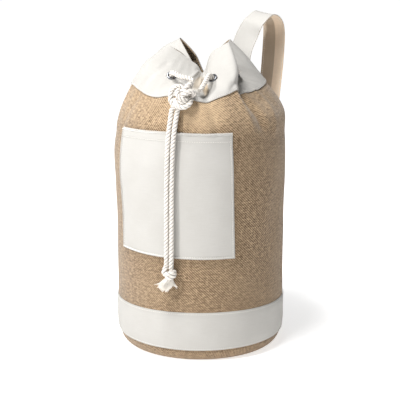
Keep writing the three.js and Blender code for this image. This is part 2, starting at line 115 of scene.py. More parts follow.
# Soft troughs and ridges pressed into the cloth: degrees from the front, as above, and mm up the cloth at
# both ends; then half width and depth in mm. A ridge's depth is positive.
CREASE_COLUMNS = ("name", "start", "end", "half", "depth")
CREASE_ROWS = [
    ("right pleat", (71, 340), (64, 392), 9, -7.0),
    ("right pleat lip", (61, 338), (54.5, 392), 6, 2.6),
    ("right pleat back", (84, 330), (88, 386), 8, 2.0),
    ("collar recess", (61, 392), (62, 412), 4, -3.0),
    ("front valley pinch", (29, 402), (30, 424), 4, -2.6),
    ("front valley lip", (22, 402), (24, 420), 4, 1.6),
    ("right side seam", (98, 0), (98, 330), 1.4, -0.9),
    ("left shoulder fold", (-44, 326), (-30, 388), 8, -2.2),
    ("left shoulder swell", (-58, 330), (-50, 392), 10, 2.0),
    ("knot pull left", (-9, 350), (8, 400), 7, -1.8),
    ("knot pull middle", (14, 340), (18, 396), 8, 1.8),
    ("knot pull right", (36, 338), (28, 402), 7, -2.0),
    ("collar tuck left", (-30, 398), (-22, 446), 6, -1.6),
    ("collar tuck front", (2, 404), (10, 452), 5, 1.6),
    ("collar tuck right", (50, 398), (44, 450), 5, -1.2),
    ("back fold left", (-150, 330), (-155, 392), 8, -2.4),
    ("back fold right", (152, 332), (160, 392), 9, -2.0),
    ("left side fold", (-88, 322), (-82, 388), 8, -2.2),
    ("body dent left", (-70, 210), (-56, 268), 16, -0.9),
    ("body dent right", (76, 150), (92, 250), 18, -1.0),
    ("body dent back", (150, 120), (188, 210), 20, -1.1),
    ("pocket slack", (-34, 262), (10, 300), 12, 0.5),
]
CREASES = [dict(zip(CREASE_COLUMNS, row)) for row in CREASE_ROWS]

# The drawstring, in mm: the routes of its two hanging ends, from the front knot to the end knot
LEFT_END = [
    (16, -131.2, 384.6), (15, -134.4, 371), (13, -137.6, 345), (10.9, -138.3, 300),
    (9.9, -138.6, 240), (9.6, -138.5, 195), (9.4, -138.7, 170), (9, -139.2, 152),
]
RIGHT_END = [
    (23.8, -128.2, 384.6), (23, -132.8, 371), (21, -136.6, 345), (18.9, -137.4, 300),
    (17.9, -137.6, 240), (17.6, -137.6, 195), (17.3, -137.8, 170), (16.7, -138.3, 152),
]
FROM_LEFT_OF_KNOT = [(38.4, -105.6, 424.4), (29.5, -103.8, 427.4), (17.5, -101.2, 428.6)]
TO_RIGHT_OF_KNOT = [(48.8, -92.6, 418.4), (47, -103.4, 410.6)]
BACK_VALLEY_SAG = (-33, 82, 405)
ROPE_OUT, ROPE_IN, ROPE_STRAIGHT = 9, 10, 2.5
ROPE_STEP, LOOP_STEP = 0.0007, 0.0009
ROPE_SIDES, ROPE_VALLEY, STRANDS, YARNS_ROUND = 24, 0.74, 3, 9

# The knots, in their own frame in mm: x right, y away from the viewer, z up
KNOT_TURN, KNOT_LEAN = 25, -20
KNOT_CENTRE = (26.6, -122, 403.8)
KNOT_STRANDS = {
    "ring": [
        (13, 3, 1), (13.7, -2, -5.5), (12, -5, -11.5), (7.3, -6.5, -15.6), (1.5, -7, -17.3),
        (-4.6, -6.5, -15.4), (-9, -4, -11.5), (-11, 1, -8),
    ],
    "left bulge": [
        (-11, 0, -12), (-14.6, -3, -7.5), (-15.3, -4.5, -0.5), (-14, -5, 6.6), (-9.8, -6, 12),
        (-3.8, -7, 13.6), (1.8, -6, 11.2), (4.4, -2, 7),
    ],
    "curl": [
        (0, -3, 9), (-4.2, -8, 7), (-5.6, -9.5, 2), (-3, -10, -3), (2, -9, -5.6), (7, -6, -5.4),
        (10, -1, -4),
    ],
    "lower band": [
        (-3.4, -7, -3.6), (3, -11, 0.6), (9, -11.5, 3.8), (14.4, -9, 5.2), (17.8, -4, 3.6), (15, 2, 1.5),
    ],
    "upper band": [
        (0, -8, 4.6), (5.1, -10, 8.7), (9.1, -9.5, 13.3), (12.2, -7, 16.6), (14, -2.5, 17.6), (13, 3, 14.5),
    ],
    "inner strand": [
        (-12, -1, -4), (-8, -5, -8), (-2.5, -6.5, -9.8), (3.5, -6.5, -9.4), (8, -3.5, -7), (10, 1, -4),
    ],
    "left": [(0, 2, 4), (-5, 0, -4), (-9, -1, -12), (-10.5, -1.5, -18)],
    "right": [(5, 2, 2), (1, 0.5, -6), (-2, 0, -12), (-3, -0.5, -18)],
}
END_KNOT_CENTRE = (14.4, -139, 141)
END_KNOT_STRANDS = {
    "wrap": [
        (-2.5, 3, -6), (-3.2, -3, -5), (2, -6.2, -3.6), (7, -2.5, -1.5), (5.5, 3.5, 0), (-0.5, 5, 0),
        (-4.4, 0, 0.2), (-1.5, -5.6, 1.4), (4, -5.4, 2.6), (6.6, -0.5, 3.2), (3, 4, 3),
    ],
    "left neck": [(-2.6, 0.5, 1), (-3, -0.5, -5), (-3.4, -0.8, -11)],
    "right neck": [(2.6, 0.5, 1), (2.4, -0.5, -5), (1.4, -0.8, -11)],
}
TAIL_ENDS = {
    "left": [(-6.6, -0.8, 7.5), (-8.2, -1, 3), (-6, 1.5, -1.5), (-2, 3, -3)],
    "right": [(2.1, 0, 6), (2.4, 1, 0)],
}

# The frayed ends, in the end knot's frame in mm: how far their roots spread, the height where they start,
# where most drift to the left and how low, the share of the threads in the wisp on the right, and its end
FRAY_REACH, FRAY_TOP, FRAY_DRIFT, FRAY_LOW = 5.4, -6.5, -6.5, -25
WISP_SHARE, WISP_END = 0.07, (10.5, -4, -19)
FRAY_THREAD = 0.0006

# Each row: the strap's middle line as x, y and z in mm, then the turn of its width in plan and the
# width's tilt, in degrees
STRAP_ROWS = [
    (10.5, 116, 397, 175, 0),
    (11.6, 120.5, 413, 177, 8),
    (15.3, 123.8, 443.2, 178.8, 11.2),
    (22.6, 133, 469.7, 178.9, 20.3),
    (32.8, 138.7, 489.2, 161, 15.2),
    (40.7, 159.2, 499.5, 162.7, 6.5),
    (45.1, 179.1, 487.5, 170.2, -2),
    (46.7, 184.3, 465, 188.4, -2),
    (47.5, 178.6, 427.2, 199.2, 3),
    (45, 176.7, 388.7, 190.3, 4.6),
    (39.6, 170.7, 320, 182, 0),
    (35, 157, 240, 175, 0),
    (33, 145, 160, 169, 0),
    (33.3, 134.6, 100, 166, 0),
    (33.8, 130.9, 70, 165.4, 0),
    (33.8, 130.5, 24, 165.4, 0),
]
STRAP_THICKNESS, STRAP_CUP = 2, 0.8
STRAP_EDGE = 0.84  # where its seams run, as a share of its half width
STRAP_PITCH = 0.0011

# Eyelets in mm: radii, and how far they bite into the cloth. Then the cloth's holes: their radius, how far
# from its middle one pushes the cloth's grid aside, and the radius in which it leaves the grid out.
EYE, BARREL, WASHER, FLANGE, EYELET_BITE = 4.35, 4.9, 6.6, 7.4, 0.1
HOLE_RADIUS, HOLE_PUSH, HOLE_CORE = 5.3, 9.0, 1.5

# Seams: how far they run from an edge in mm, or as shares of the pocket's width and height, and the
# share of the pitch that a stitch fills
SEAM_EDGE, POCKET_SEAM, POCKET_HEM_SEAM, STITCH_SHARE = 2.4, 0.017, 0.935, 0.78

# The zigzag that binds the pocket's edges, in mm: its pitch, and how far its two rows lie from the edge
ZIGZAG_PITCH, ZIGZAG_IN, ZIGZAG_OUT = 0.85, 2.4, 0.6

# How finely the pieces are divided
BODY_COLUMNS, COLLAR_COLUMNS, BASE_COLUMNS, EYELET_SEGMENTS, STRAP_STEPS = 300, 420, 240, 48, 260


def metres(name, description, value):
    return FloatProperty(name=name, description=description, default=value, unit="LENGTH")


def colour(name, description, value):
    return FloatVectorProperty(
        name=name, description=description, subtype="COLOR", size=3, min=0, max=1, default=value,
    )


class BagSizes(bpy.types.PropertyGroup):
    """Sizes that a user may change."""

    jute_pitch: metres("Jute pitch", "Distance between two jute yarns", 0.0020)
    canvas_pitch: metres("Canvas pitch", "Distance between two canvas yarns", 0.0008)
    rope_diameter: metres("Rope diameter", "Thickness of the drawstring", 0.0075)
    rope_lay: metres("Rope lay", "Length in which a strand goes once round", 0.017)
    strap_width: metres("Strap width", "Width of the shoulder strap", 0.036)
    stitch_pitch: metres("Stitch pitch", "Distance from one stitch to the next", 0.0034)
    thread_diameter: metres("Thread", "Thickness of the sewing thread", 0.0007)
    fray_threads: IntProperty(
        name="Frayed threads", description="Number of loose threads at the rope's ends", default=330, min=20,
    )


class BagColours(bpy.types.PropertyGroup):
    """Colours that a user may change."""

    jute_light: colour("Jute, light", "Colour of the raised jute yarns", (0.58, 0.42, 0.262))
    jute_dark: colour("Jute, dark", "Colour between the jute yarns", (0.120, 0.074, 0.040))
    canvas: colour("Canvas", "Colour of the canvas", (0.535, 0.520, 0.492))
    canvas_shade: colour("Canvas, shade", "Colour between the canvas yarns", (0.455, 0.437, 0.405))
    cotton: colour("Cotton", "Colour of the rope", (0.78, 0.735, 0.68))
    strap_back: colour("Strap back", "Colour of the strap's inner face", (0.62, 0.50, 0.38))
    steel: colour("Steel", "Colour of the eyelets", (0.20, 0.205, 0.22))
    floor: colour("Floor", "Colour of the floor", (0.90, 0.90, 0.90))
    # Painted shade: warm brown laid on the canvas in the folds beside the front knot.
    painted_fold_shade: colour("Folds", "Colour of the canvas in its tightest folds", (0.42, 0.32, 0.20))


def sizes():
    return bpy.context.scene.bag_sizes


def colours():
    return bpy.context.scene.bag_colours


# Node trees


class Wire:
    """A number socket in a node tree. Arithmetic on it adds Math nodes."""

    def __init__(self, tree, socket):
        self.tree = tree
        self.socket = socket

    def math(self, operation, *others):
        return self.tree.add("ShaderNodeMath", [self, *others], operation=operation).out()

    def __add__(self, other):
        return self.math("ADD", other)

    def __sub__(self, other):
        return self.math("SUBTRACT", other)

    def __mul__(self, other):
        return self.math("MULTIPLY", other)

    def __truediv__(self, other):
        return self.math("DIVIDE", other)

    def __rsub__(self, other):
        return self.tree.add("ShaderNodeMath", [other, self], operation="SUBTRACT").out()

    __radd__ = __add__
    __rmul__ = __mul__

    def floor(self):
        return self.math("FLOOR")

    def sine(self):
        return self.math("SINE")

    def cosine(self):
        return self.math("COSINE")

    def size(self):
        return self.math("ABSOLUTE")

    def power(self, other):
        return self.math("POWER", other)

    def larger(self, other):
        return self.math("MAXIMUM", other)

    def above(self, other):
        return self.math("GREATER_THAN", other)

    def between(self, low, high):
        """0 at low and 1 at high, smoothly."""
        inputs = [self, low, high]
        return self.tree.add("ShaderNodeMapRange", inputs, interpolation_type="SMOOTHSTEP").out()


class Node:
    """A node of a tree, with its sockets by name or number."""

    def __init__(self, tree, node):
        self.tree = tree
        self.node = node

    def out(self, key=0):
        return Wire(self.tree, self.node.outputs[key])


class Tree:
    """A node tree of a material, or of a geometry modifier."""

    def __init__(self, tree):
        self.tree = tree

    def add(self, kind, inputs=(), **settings):
        """Adds a node, sets it up, then fills its inputs with values or links, by number or by name."""
        node = self.tree.nodes.new(kind)
        for key, value in settings.items():
            setattr(node, key, value)
        pairs = inputs.items() if isinstance(inputs, dict) else enumerate(inputs)
        for key, value in pairs:
            if value is None:
                continue
            if isinstance(value, Node):
                value = value.out()
            if isinstance(value, Wire):
                self.tree.links.new(value.socket, node.inputs[key])
            else:
                node.inputs[key].default_value = value
        return Node(self, node)

    def mix(self, amount, first, second):
        """A colour between two colours."""
        return self.add("ShaderNodeMix", {0: amount, 6: first, 7: second}, data_type="RGBA").out(2)

    def vector(self, x, y, z):
        return self.add("ShaderNodeCombineXYZ", [x, y, z]).out()

    def noise(self, vector, scale, detail=2.0, roughness=0.5):
        inputs = {"Vector": vector, "Scale": scale, "Detail": detail, "Roughness": roughness}
        return self.add("ShaderNodeTexNoise", inputs).out()

    def stretched(self, vector, scale):
        """The vector with each part multiplied by its own number."""
        return self.add("ShaderNodeMapping", {0: vector, 3: scale}, vector_type="POINT").out()


def rgba(value, factor=1.0):
    return (*[min(part * factor, 1.0) for part in value], 1.0)


def new_material(name):
    finish = bpy.data.materials.new(name)
    finish.use_nodes = True
    finish.node_tree.nodes.clear()
    return finish, Tree(finish.node_tree)


def surface(tree, base, roughness, normal=None, **numbers):
    inputs = {"Base Color": base, "Roughness": roughness, "Normal": normal, **numbers}
    shader = tree.add("ShaderNodeBsdfPrincipled", inputs)
    tree.add("ShaderNodeOutputMaterial", {"Surface": shader})


def cloth_surface(tree, base, roughness, normal, sheen, specular):
    surface(tree, base, roughness, normal, **{"Sheen Weight": sheen, "Specular IOR Level": specular})


def bumps(tree, strength, depth, height):
    """The normal of a surface that rises by a depth in mm where the height goes from 0 to 1."""
    inputs = {"Strength": strength, "Distance": depth * MM, "Height": height}
    return tree.add("ShaderNodeBump", inputs).out()


# A yarn's crown, how far it dips under the next, and how many times a metre its shade changes
YARN_CROWN, YARN_DIP, YARN_SHADES = 0.7, 0.44, 90.0


def weave(tree, along, up, pitch, wander):
    """A plain weave's height, 0 to 1, each yarn's own shade, and the place as a vector, in metres."""
    cloth = tree.vector(along, up, 0.0)
    a = along / pitch + (tree.noise(cloth, 60.0) - 0.5) * wander
    b = up / pitch + (tree.noise(cloth, 75.0) - 0.5) * wander
    warp_number = a.floor()
    weft_number = b.floor()
    warp_over = ((b + warp_number) * math.pi).sine()
    weft_over = ((a + weft_number) * math.pi).sine()
    warp = (a * math.pi).sine().size().power(YARN_CROWN) * (1 - YARN_DIP + warp_over * YARN_DIP)
    weft = (b * math.pi).sine().size().power(YARN_CROWN) * (1 - YARN_DIP - weft_over * YARN_DIP)
    height = warp.larger(weft)
    upright = warp.above(weft)
    warp_shade = tree.noise(tree.vector(warp_number * 7.31, up * YARN_SHADES, 0.0), 1.0)
    weft_shade = tree.noise(tree.vector(along * YARN_SHADES, weft_number * 5.17, 3.0), 1.0)
    return height, warp_shade * upright + weft_shade * (1 - upright), cloth


def cloth_places(tree):
    """The two parts of the cloth's map: metres across it and metres up it."""
    cloth = tree.add("ShaderNodeUVMap", uv_map="cloth")
    parts = tree.add("ShaderNodeSeparateXYZ", [cloth])
    return parts.out(0), parts.out(1)


def object_place(tree):
    return tree.add("ShaderNodeTexCoord").out("Object")


# Tints: middles and reaches in metres round the bag from its front and up the cloth, then strengths.
# The first are painted light on the jute's chest, the second warm painted shade on the canvas beside the
# front knot.
TINT_COLUMNS = ("along", "up", "across", "rise", "shade")
PAINTED_LIGHT_PATCHES = [(0.0560, 0.3680, 0.0520, 0.0400, 0.32)]
PAINTED_SHADE_FOLDS = [(0.0670, 0.4130, 0.0085, 0.0170, 0.75), (0.0470, 0.4170, 0.0300, 0.0180, 0.50)]


def tinted(along, up, row):
    """A tint's strength at its middle, falling to 0 at its reach."""
    tint = dict(zip(TINT_COLUMNS, row))
    across = (along - tint["along"]) / tint["across"]
    rise = (up - tint["up"]) / tint["rise"]
    return (1 - (across * across + rise * rise).between(0.1, 1.0)) * tint["shade"]


def jute_weave(tree):
    along, up = cloth_places(tree)
    pitch = sizes().jute_pitch
    height, shade, cloth = weave(tree, along, up, pitch, 0.5)
    wander = (tree.noise(cloth, 45.0) - 0.5) * 1.2
    lean = ((along + up) / pitch * math.pi + wander).sine() * 0.5 + 0.5
    fibres = tree.noise(cloth, 1400.0, 3.0)
    slubs = tree.noise(tree.stretched(cloth, (170.0, 340.0, 1.0)), 1.0, 3.0)
    patches = tree.noise(cloth, 16.0, 3.0)
    # Painted light: the jute is lighter high on the chest, where the cloth leans up towards the lamps, and
    # in the patch.
    painted_light = up.between(0.315, 0.365) * 0.22
    for patch in PAINTED_LIGHT_PATCHES:
        painted_light = painted_light + tinted(along, up, patch)
    amount = lean * 0.58 + height * 0.34 + (shade - 0.5) * 0.9 + (fibres - 0.5) * 0.3 + (slubs - 0.5) * 1.5
    amount = amount + painted_light - 0.18
    base = tree.mix(amount, rgba(colours().jute_dark), rgba(colours().jute_light))
    base = tree.mix(patches.between(0.4, 0.75) * 0.25, base, rgba(colours().jute_light, 0.62))
    bump = bumps(tree, 0.9, 0.6, height * 0.6 + lean * 0.5 + fibres * 0.25)
    cloth_surface(tree, base, 0.95, bump, 0.25, 0.15)


def canvas_weave(tree):
    along, up = cloth_places(tree)
    height, shade, cloth = weave(tree, along, up, sizes().canvas_pitch, 0.5)
    patches = tree.noise(cloth, 22.0, 4.0)
    slubs = tree.noise(tree.stretched(cloth, (60.0, 1400.0, 1.0)), 1.0, 2.0)
    amount = height * 0.6 + (shade - 0.5) * 0.5 + (patches - 0.5) * 0.9 + (slubs - 0.5) * 0.7 + 0.3
    base = tree.mix(amount, rgba(colours().canvas_shade), rgba(colours().canvas))
    # Painted shade, warm brown, on the canvas in the folds beside the front knot.
    for fold in PAINTED_SHADE_FOLDS:
        base = tree.mix(tinted(along, up, fold), base, rgba(colours().painted_fold_shade))
    bump = bumps(tree, 0.55, 0.4, height * 0.5 + patches * 1.3 + slubs * 0.4)
    cloth_surface(tree, base, 0.9, bump, 0.1, 0.25)


def cotton_rope(tree):
    """Cotton rope. The map's first part runs along it, and the second once round it with its strands."""
    along, strand = cloth_places(tree)
    crown = (strand * (STRANDS * math.pi)).cosine().size()
    yarns = ((strand + along / sizes().rope_lay * 2.0) * (2 * math.pi * YARNS_ROUND)).sine().size()
    place = object_place(tree)
    fuzz = tree.noise(place, 1500.0, 2.0)
    patches = tree.noise(place, 120.0, 2.0)
    # Painted shade: the rope is darker in the grooves between its strands, on top of its yarn marks, fuzz
    # and patches.
    amount = crown.between(0.02, 0.62) * 0.75 + yarns * 0.15 + (fuzz - 0.5) * 0.3 + (patches - 0.5) * 0.3
    base = tree.mix(amount, rgba(colours().cotton, 0.36), rgba(colours().cotton, 1.12))
    bump = bumps(tree, 0.6, 0.35, crown * 1.2 + yarns * 0.35 + fuzz * 0.4)
    cloth_surface(tree, base, 0.9, bump, 0.2, 0.25)


def thread_material(name, value):
    finish, tree = new_material(name)
    lint = tree.noise(object_place(tree), 2500.0, 2.0)
    base = tree.mix(lint, rgba(value, 0.86), rgba(value, 1.05))
    surface(tree, base, 0.85, bumps(tree, 0.3, 0.1, lint), **{"Specular IOR Level": 0.3})
    return finish


def eyelet_steel(tree):
    scuffs = tree.noise(object_place(tree), 900.0, 4.0, 0.6)
    base = tree.mix(scuffs, rgba(colours().steel, 0.85), rgba(colours().steel, 1.2))
    surface(tree, base, 0.22 + scuffs * 0.2, bumps(tree, 0.12, 0.1, scuffs), Metallic=1.0)


def strap_web(tree):
    """Woven strap, off-white outside and tan inside. The map's first part is 0 at the strap's middle."""
    along, up = cloth_places(tree)
    height, shade, cloth = weave(tree, along, up, STRAP_PITCH, 0.4)
    patches = tree.noise(cloth, 30.0, 3.0)
    inner = tree.add("ShaderNodeAttribute", attribute_name="inner_face").out("Fac")
    amount = height * 0.6 + (shade - 0.5) * 0.6 + (patches - 0.5) * 0.4 + 0.3
    outer_base = tree.mix(amount, rgba(colours().canvas_shade, 1.08), rgba(colours().canvas, 1.08))
    tan = colours().strap_back
    # Painted shade: the tan face is darker over most of its width and lighter in a strip along one edge.
    shaded_side = along.between(-0.0030, -0.0016)
    inner_light = tree.mix(shaded_side, rgba(tan, 1.45), rgba(tan, 0.85))
    inner_dark = tree.mix(shaded_side, rgba(tan, 0.85), rgba(tan, 0.55))
    inner_base = tree.mix(amount, inner_dark, inner_light)
    base = tree.mix(inner, outer_base, inner_base)
    bump = bumps(tree, 0.5, 0.4, height + patches * 0.5)
    cloth_surface(tree, base, 0.85, bump, 0.1, 0.25)


def material(maker):
    """The material that a maker sets up, made once under the maker's name."""
    found = bpy.data.materials.get(maker.__name__)
    if found:
        return found
    finish, tree = new_material(maker.__name__)
    maker(tree)
    return finish


# The sewing surface of the bag


def through(places, values, at):
    """Smooth curve through values at rising places, with easy slopes that don't overshoot.

    values has a row for each place, and may have a column for each entry of at.
    """
    places = np.asarray(places, float)
    gaps = np.diff(places)
    shape = (-1,) + (1,) * (values.ndim - 1)
    rises = np.diff(values, axis=0) / gaps.reshape(shape)
    share = (gaps[1:] / (gaps[:-1] + gaps[1:])).reshape(shape)
    slopes = np.concatenate([rises[:1], rises[:-1] * share + rises[1:] * (1 - share), rises[-1:]])
    k = np.clip(np.searchsorted(places, at, side="right") - 1, 0, len(places) - 2)
    columns = np.arange(len(at))

    def pick(table, row):
        return table[row] if values.ndim == 2 else table[row, columns]

    span = gaps[k][:, None]
    t = (at - places[k])[:, None] / span
    low = pick(values, k)
    rise = pick(values, k + 1) - low
    start = pick(slopes, k) * span
    end = pick(slopes, k + 1) * span
    return low + t * (start + t * (3 * rise - 2 * start - end + t * (start + end - 2 * rise)))


ORDER = [{**fold, "turn": -fold["turn"]} for fold in FOLDS]
EYELET_TURNS = [fold["turn"] for fold in ORDER if fold["name"].startswith("eyelet")]
TURNS = np.array([fold["turn"] + lap for lap in (-360, 0, 360) for fold in ORDER], float)
SEAMS, CORDS, RIMS = (
    np.array([fold[key] for _ in range(3) for fold in ORDER], float) for key in ("seam", "cord", "rim")
)
FOOT = FOOT_RISE - BASE_TOP
PLUMB = FOOT + 14  # the wall is upright from here up
LEVELS = [0, FOOT, PLUMB, WAIST, CHEST, SHOULDER, SEAM, CORD, RIM]


def on_ring(turn, reach, height):
    a = np.radians(turn)
    return np.stack([-reach * np.sin(a), -reach * np.cos(a), height + 0 * a], axis=-1)


def foot_reach(height):
    """How far the outside of the rounded foot is from the middle, at a height above the floor in mm."""
    level = 1 - np.minimum(height / FOOT_RISE, 1)
    return FLOOR_RADIUS + (BODY_RADIUS - FLOOR_RADIUS) * np.sqrt(1 - level ** 2)


def slump(turn, height):
    """Slight unevenness of the standing cloth in mm, gone at the base and at SLUMP_TOP."""
    fade = np.sin(math.pi * np.minimum(height / SLUMP_TOP, 1))
    oval = SLUMP_OVAL * np.sin(np.radians(2 * turn + SLUMP_OVAL_TURN))
    return fade * (oval + SLUMP_THREEFOLD * np.sin(np.radians(3 * turn)))


def smooth_surface(turn, height):
    """Points of the sewing surface in mm, for turns round the bag and heights along its cloth."""
    seam = through(TURNS, SEAMS, turn)
    reach, seam_height = seam[:, 0], seam[:, 1]
    lean = SHOULDER_LEAN * np.cos(np.radians(turn + SHOULDER_LEAN_TURN))
    shoulder = on_ring(
        turn,
        SHOULDER_REACH + lean + SHOULDER_SHARE * (reach - SEAM_REACH_MEAN),
        SHOULDER_HEIGHT + SHOULDER_SHARE * (seam_height - SEAM_HEIGHT_MEAN),
    )
    levels = np.stack([
        on_ring(turn, foot_reach(BASE_TOP), BASE_TOP),
        *[on_ring(turn, BODY_RADIUS, BASE_TOP + level) for level in (FOOT, PLUMB, WAIST, CHEST)],
        shoulder,
        on_ring(turn, reach, seam_height),
        through(TURNS, CORDS, turn),
        through(TURNS, RIMS, turn),
    ])
    points = through(LEVELS, levels, height)
    points[:, :2] *= (1 + slump(turn, height) / BODY_RADIUS)[:, None]
    return points


def smooth_normal(turn, height):
    low = np.maximum(height - 0.5, 0)
    high = np.minimum(height + 0.5, RIM)
    up = smooth_surface(turn, high) - smooth_surface(turn, low)
    along = smooth_surface(turn + 0.3, height) - smooth_surface(turn - 0.3, height)
    normal = np.cross(up, along)
    return normal / np.linalg.norm(normal, axis=1)[:, None]


def ridge(at, place, width):
    """1 at a place, falling off smoothly to both sides."""
    return np.exp(-((at - place) / width) ** 2)


def cloth_relief(turn, height):
    """How far the creases and the slack of the cloth move its surface outwards, in mm."""
    moved = np.zeros(len(turn))
    for crease in CREASES:
        start_turn, start_height = crease["start"]
        end_turn, end_height = crease["end"]
        across = np.radians((-turn - start_turn + 180) % 360 - 180) * BODY_RADIUS
        up = height - start_height
        line = np.array([np.radians(end_turn - start_turn) * BODY_RADIUS, end_height - start_height])
        length = np.linalg.norm(line)
        line = line / length
        place = (across * line[0] + up * line[1]) / length
        beside = np.abs(across * line[1] - up * line[0])
        beyond = np.maximum(np.maximum(-place, place - 1), 0) * length
        moved += crease["depth"] * ridge(np.hypot(beside, beyond), 0, crease["half"])
    a = np.radians(turn)
    gathered = np.clip((height - GATHER_START) / GATHER_RISE, 0, 1)
    gathered *= np.clip((RIM - height) / GATHER_FALL, 0.3, 1)
    moved += 0.28 * gathered * np.sin(23 * a + 0.05 * height) * np.sin(7 * a + 1.3)
    moved += 0.15 * gathered * np.sin(41 * a - 0.07 * height + 2 * np.sin(5 * a))
    moved += 0.25 * np.sin(9 * a + 0.03 * height) * np.sin(0.045 * height + 4 * np.sin(2 * a))
    return moved


def on_cloth(turn, height, distance=0.0):
    """Points at a distance in mm off the creased sewing surface, in metres."""
    turn = np.asarray(turn, float)
    height = np.asarray(height, float)
    turn, height = np.broadcast_arrays(turn, height)
    shape = turn.shape
    turn, height = turn.ravel(), height.ravel()
    off = np.ravel(distance) + cloth_relief(turn, height)
    points = smooth_surface(turn, height) + smooth_normal(turn, height) * off[:, None]
    return (points * MM).reshape(*shape, 3)


# Meshes


def make_object(name, points, faces, face_maps=None, materials=(), sharp=50):
    """A mesh object at the origin. face_maps gives the map's two numbers for each corner of each face."""
    mesh = bpy.data.meshes.new(name)
    mesh.from_pydata(np.asarray(points).tolist(), [], np.asarray(faces, object).tolist())
    if face_maps is not None:
        layer = mesh.uv_layers.new(name="cloth")
        layer.data.foreach_set("uv", np.asarray(face_maps, float).ravel())
    for item in materials:
        mesh.materials.append(item)
    mesh.shade_smooth()
    mesh.set_sharp_from_angle(angle=math.radians(sharp))
    mesh.update()
    piece = bpy.data.objects.new(name, mesh)
    bpy.context.scene.collection.objects.link(piece)
    return piece


def settle(piece, slot_name, *nodes):
    """Rides a finished piece on the bag, in place of the nodes that it stands for."""
    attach(piece, ROOT)
    if nodes:
        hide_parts(*nodes)
    return piece


def sheet_faces(rows, columns, closed, keep=None):
    """Faces of a closed sheet from two grids of points, as (face side, row, column) for each corner."""
    cells = columns if closed else columns - 1
    keep = np.ones((rows - 1, cells), bool) if keep is None else keep
    padded = np.pad(keep, ((1, 1), (0, 0)))
    if closed:
        padded = np.concatenate([padded[:, -1:], padded, padded[:, :1]], axis=1)
    else:
        padded = np.pad(padded, ((0, 0), (1, 1)))
    around = {
        "below": padded[:-2, 1:-1], "above": padded[2:, 1:-1],
        "left": padded[1:-1, :-2], "right": padded[1:-1, 2:],
    }
    corners = {
        "outer": [(1, 0, 0), (1, 0, 1), (1, 1, 1), (1, 1, 0)],
        "inner": [(0, 0, 0), (0, 1, 0), (0, 1, 1), (0, 0, 1)],
        "below": [(0, 0, 0), (0, 0, 1), (1, 0, 1), (1, 0, 0)],
        "above": [(1, 1, 0), (1, 1, 1), (0, 1, 1), (0, 1, 0)],
        "left": [(0, 0, 0), (1, 0, 0), (1, 1, 0), (0, 1, 0)],
        "right": [(1, 0, 1), (0, 0, 1), (0, 1, 1), (1, 1, 1)],
    }
    made = []
    for kind, offsets in corners.items():
        wanted = keep if kind in ("outer", "inner") else keep & ~around[kind]
        r, c = np.nonzero(wanted)
        corner = [np.stack([side + 0 * r, r + dr, c + dc], axis=-1) for side, dr, dc in offsets]
        made.append(np.stack(corner, axis=1))
    return np.concatenate(made)


def ring_cells(rows, columns, whole=False):
    """Row and column of each corner of a tube's cells.

    The columns close round and, with whole, so do the rows: a number past the last one stands for 0.
    """
    row, column = np.meshgrid(np.arange(rows if whole else rows - 1), np.arange(columns), indexing="ij")
    steps = np.array([(0, 0), (0, 1), (1, 1), (1, 0)])
    return row.reshape(-1, 1) + steps[:, 0], column.reshape(-1, 1) + steps[:, 1]


def run_along(points):
    """How far along its line each point is."""
    return np.concatenate([[0], np.cumsum(np.linalg.norm(np.diff(points, axis=0), axis=1))])


def sheet_object(name, inside, outside, u, v, closed, maker, keep=None):
    """A closed sheet from its inside and outside points; u and v place its columns and rows on the cloth."""
    rows, columns = inside.shape[:2]
    faces = sheet_faces(rows, columns, closed, keep)
    index = faces[..., 0] * rows * columns + faces[..., 1] * columns + faces[..., 2] % columns
    maps = np.stack([u[faces[..., 2]], v[faces[..., 1]]], axis=-1)
    points = np.concatenate([inside.reshape(-1, 3), outside.reshape(-1, 3)])
    used, index = np.unique(index, return_inverse=True)
    return make_object(name, points[used], index.reshape(-1, 4), maps, [material(maker)])


def at_cord(turn, above=0):
    """A point of the sewing surface in mm, at the cord's height on it or above."""
    return smooth_surface(np.array([turn], float), np.array([CORD + above], float))[0]


def eyelet_places():
    """Each eyelet's centre in metres, and its axes."""
    made = []
    for turn in EYELET_TURNS:
        normal = smooth_normal(np.array([turn], float), np.array([CORD], float))[0]
        side = np.cross(at_cord(turn, 2) - at_cord(turn, -2), normal)
        side /= np.linalg.norm(side)
        up = np.cross(normal, side)
        made.append({"centre": at_cord(turn) * MM, "normal": normal, "side": side, "up": up})
    return made


def pierced_sheet(name, turns, heights, distances, maker):
    """The bag's cloth between two distances in mm, with a hole for each eyelet."""
    turn_grid, height_grid = np.meshgrid(turns, heights)
    keep = np.ones((len(heights) - 1, len(turns)), bool)
    moved_turn, moved_height = turn_grid.copy(), height_grid.copy()
    for turn in EYELET_TURNS:
        per_turn = np.linalg.norm(at_cord(turn + 1) - at_cord(turn - 1)) / 2
        per_height = np.linalg.norm(at_cord(turn, 2) - at_cord(turn, -2)) / 4
        across = ((turn_grid - turn + 180) % 360 - 180) * per_turn
        up = (height_grid - CORD) * per_height
        distance = np.hypot(across, up)
        near = distance < HOLE_PUSH
        pushed = HOLE_RADIUS + distance * (HOLE_PUSH - HOLE_RADIUS) / HOLE_PUSH
        grow = np.where(near, pushed / np.maximum(distance, 1e-6), 1.0)
        moved_turn += np.where(near, across * (grow - 1) / per_turn, 0)
        moved_height += np.where(near, up * (grow - 1) / per_height, 0)
        hollow = distance < HOLE_CORE
        corners = hollow[:-1] | hollow[1:]
        keep &= ~(corners | np.roll(corners, -1, axis=1))
    skins = [on_cloth(moved_turn, moved_height, distance) for distance in distances]
    return sheet_object(name, *skins, cloth_lengths(turns), heights * MM, True, maker, keep)


def band_top(turn):
    """The height of the band's top edge in mm, lower at two opposite sides."""
    return BAND_TOP - BAND_DIP * np.sin(np.radians(turn + BAND_DIP_TURN)) ** 2


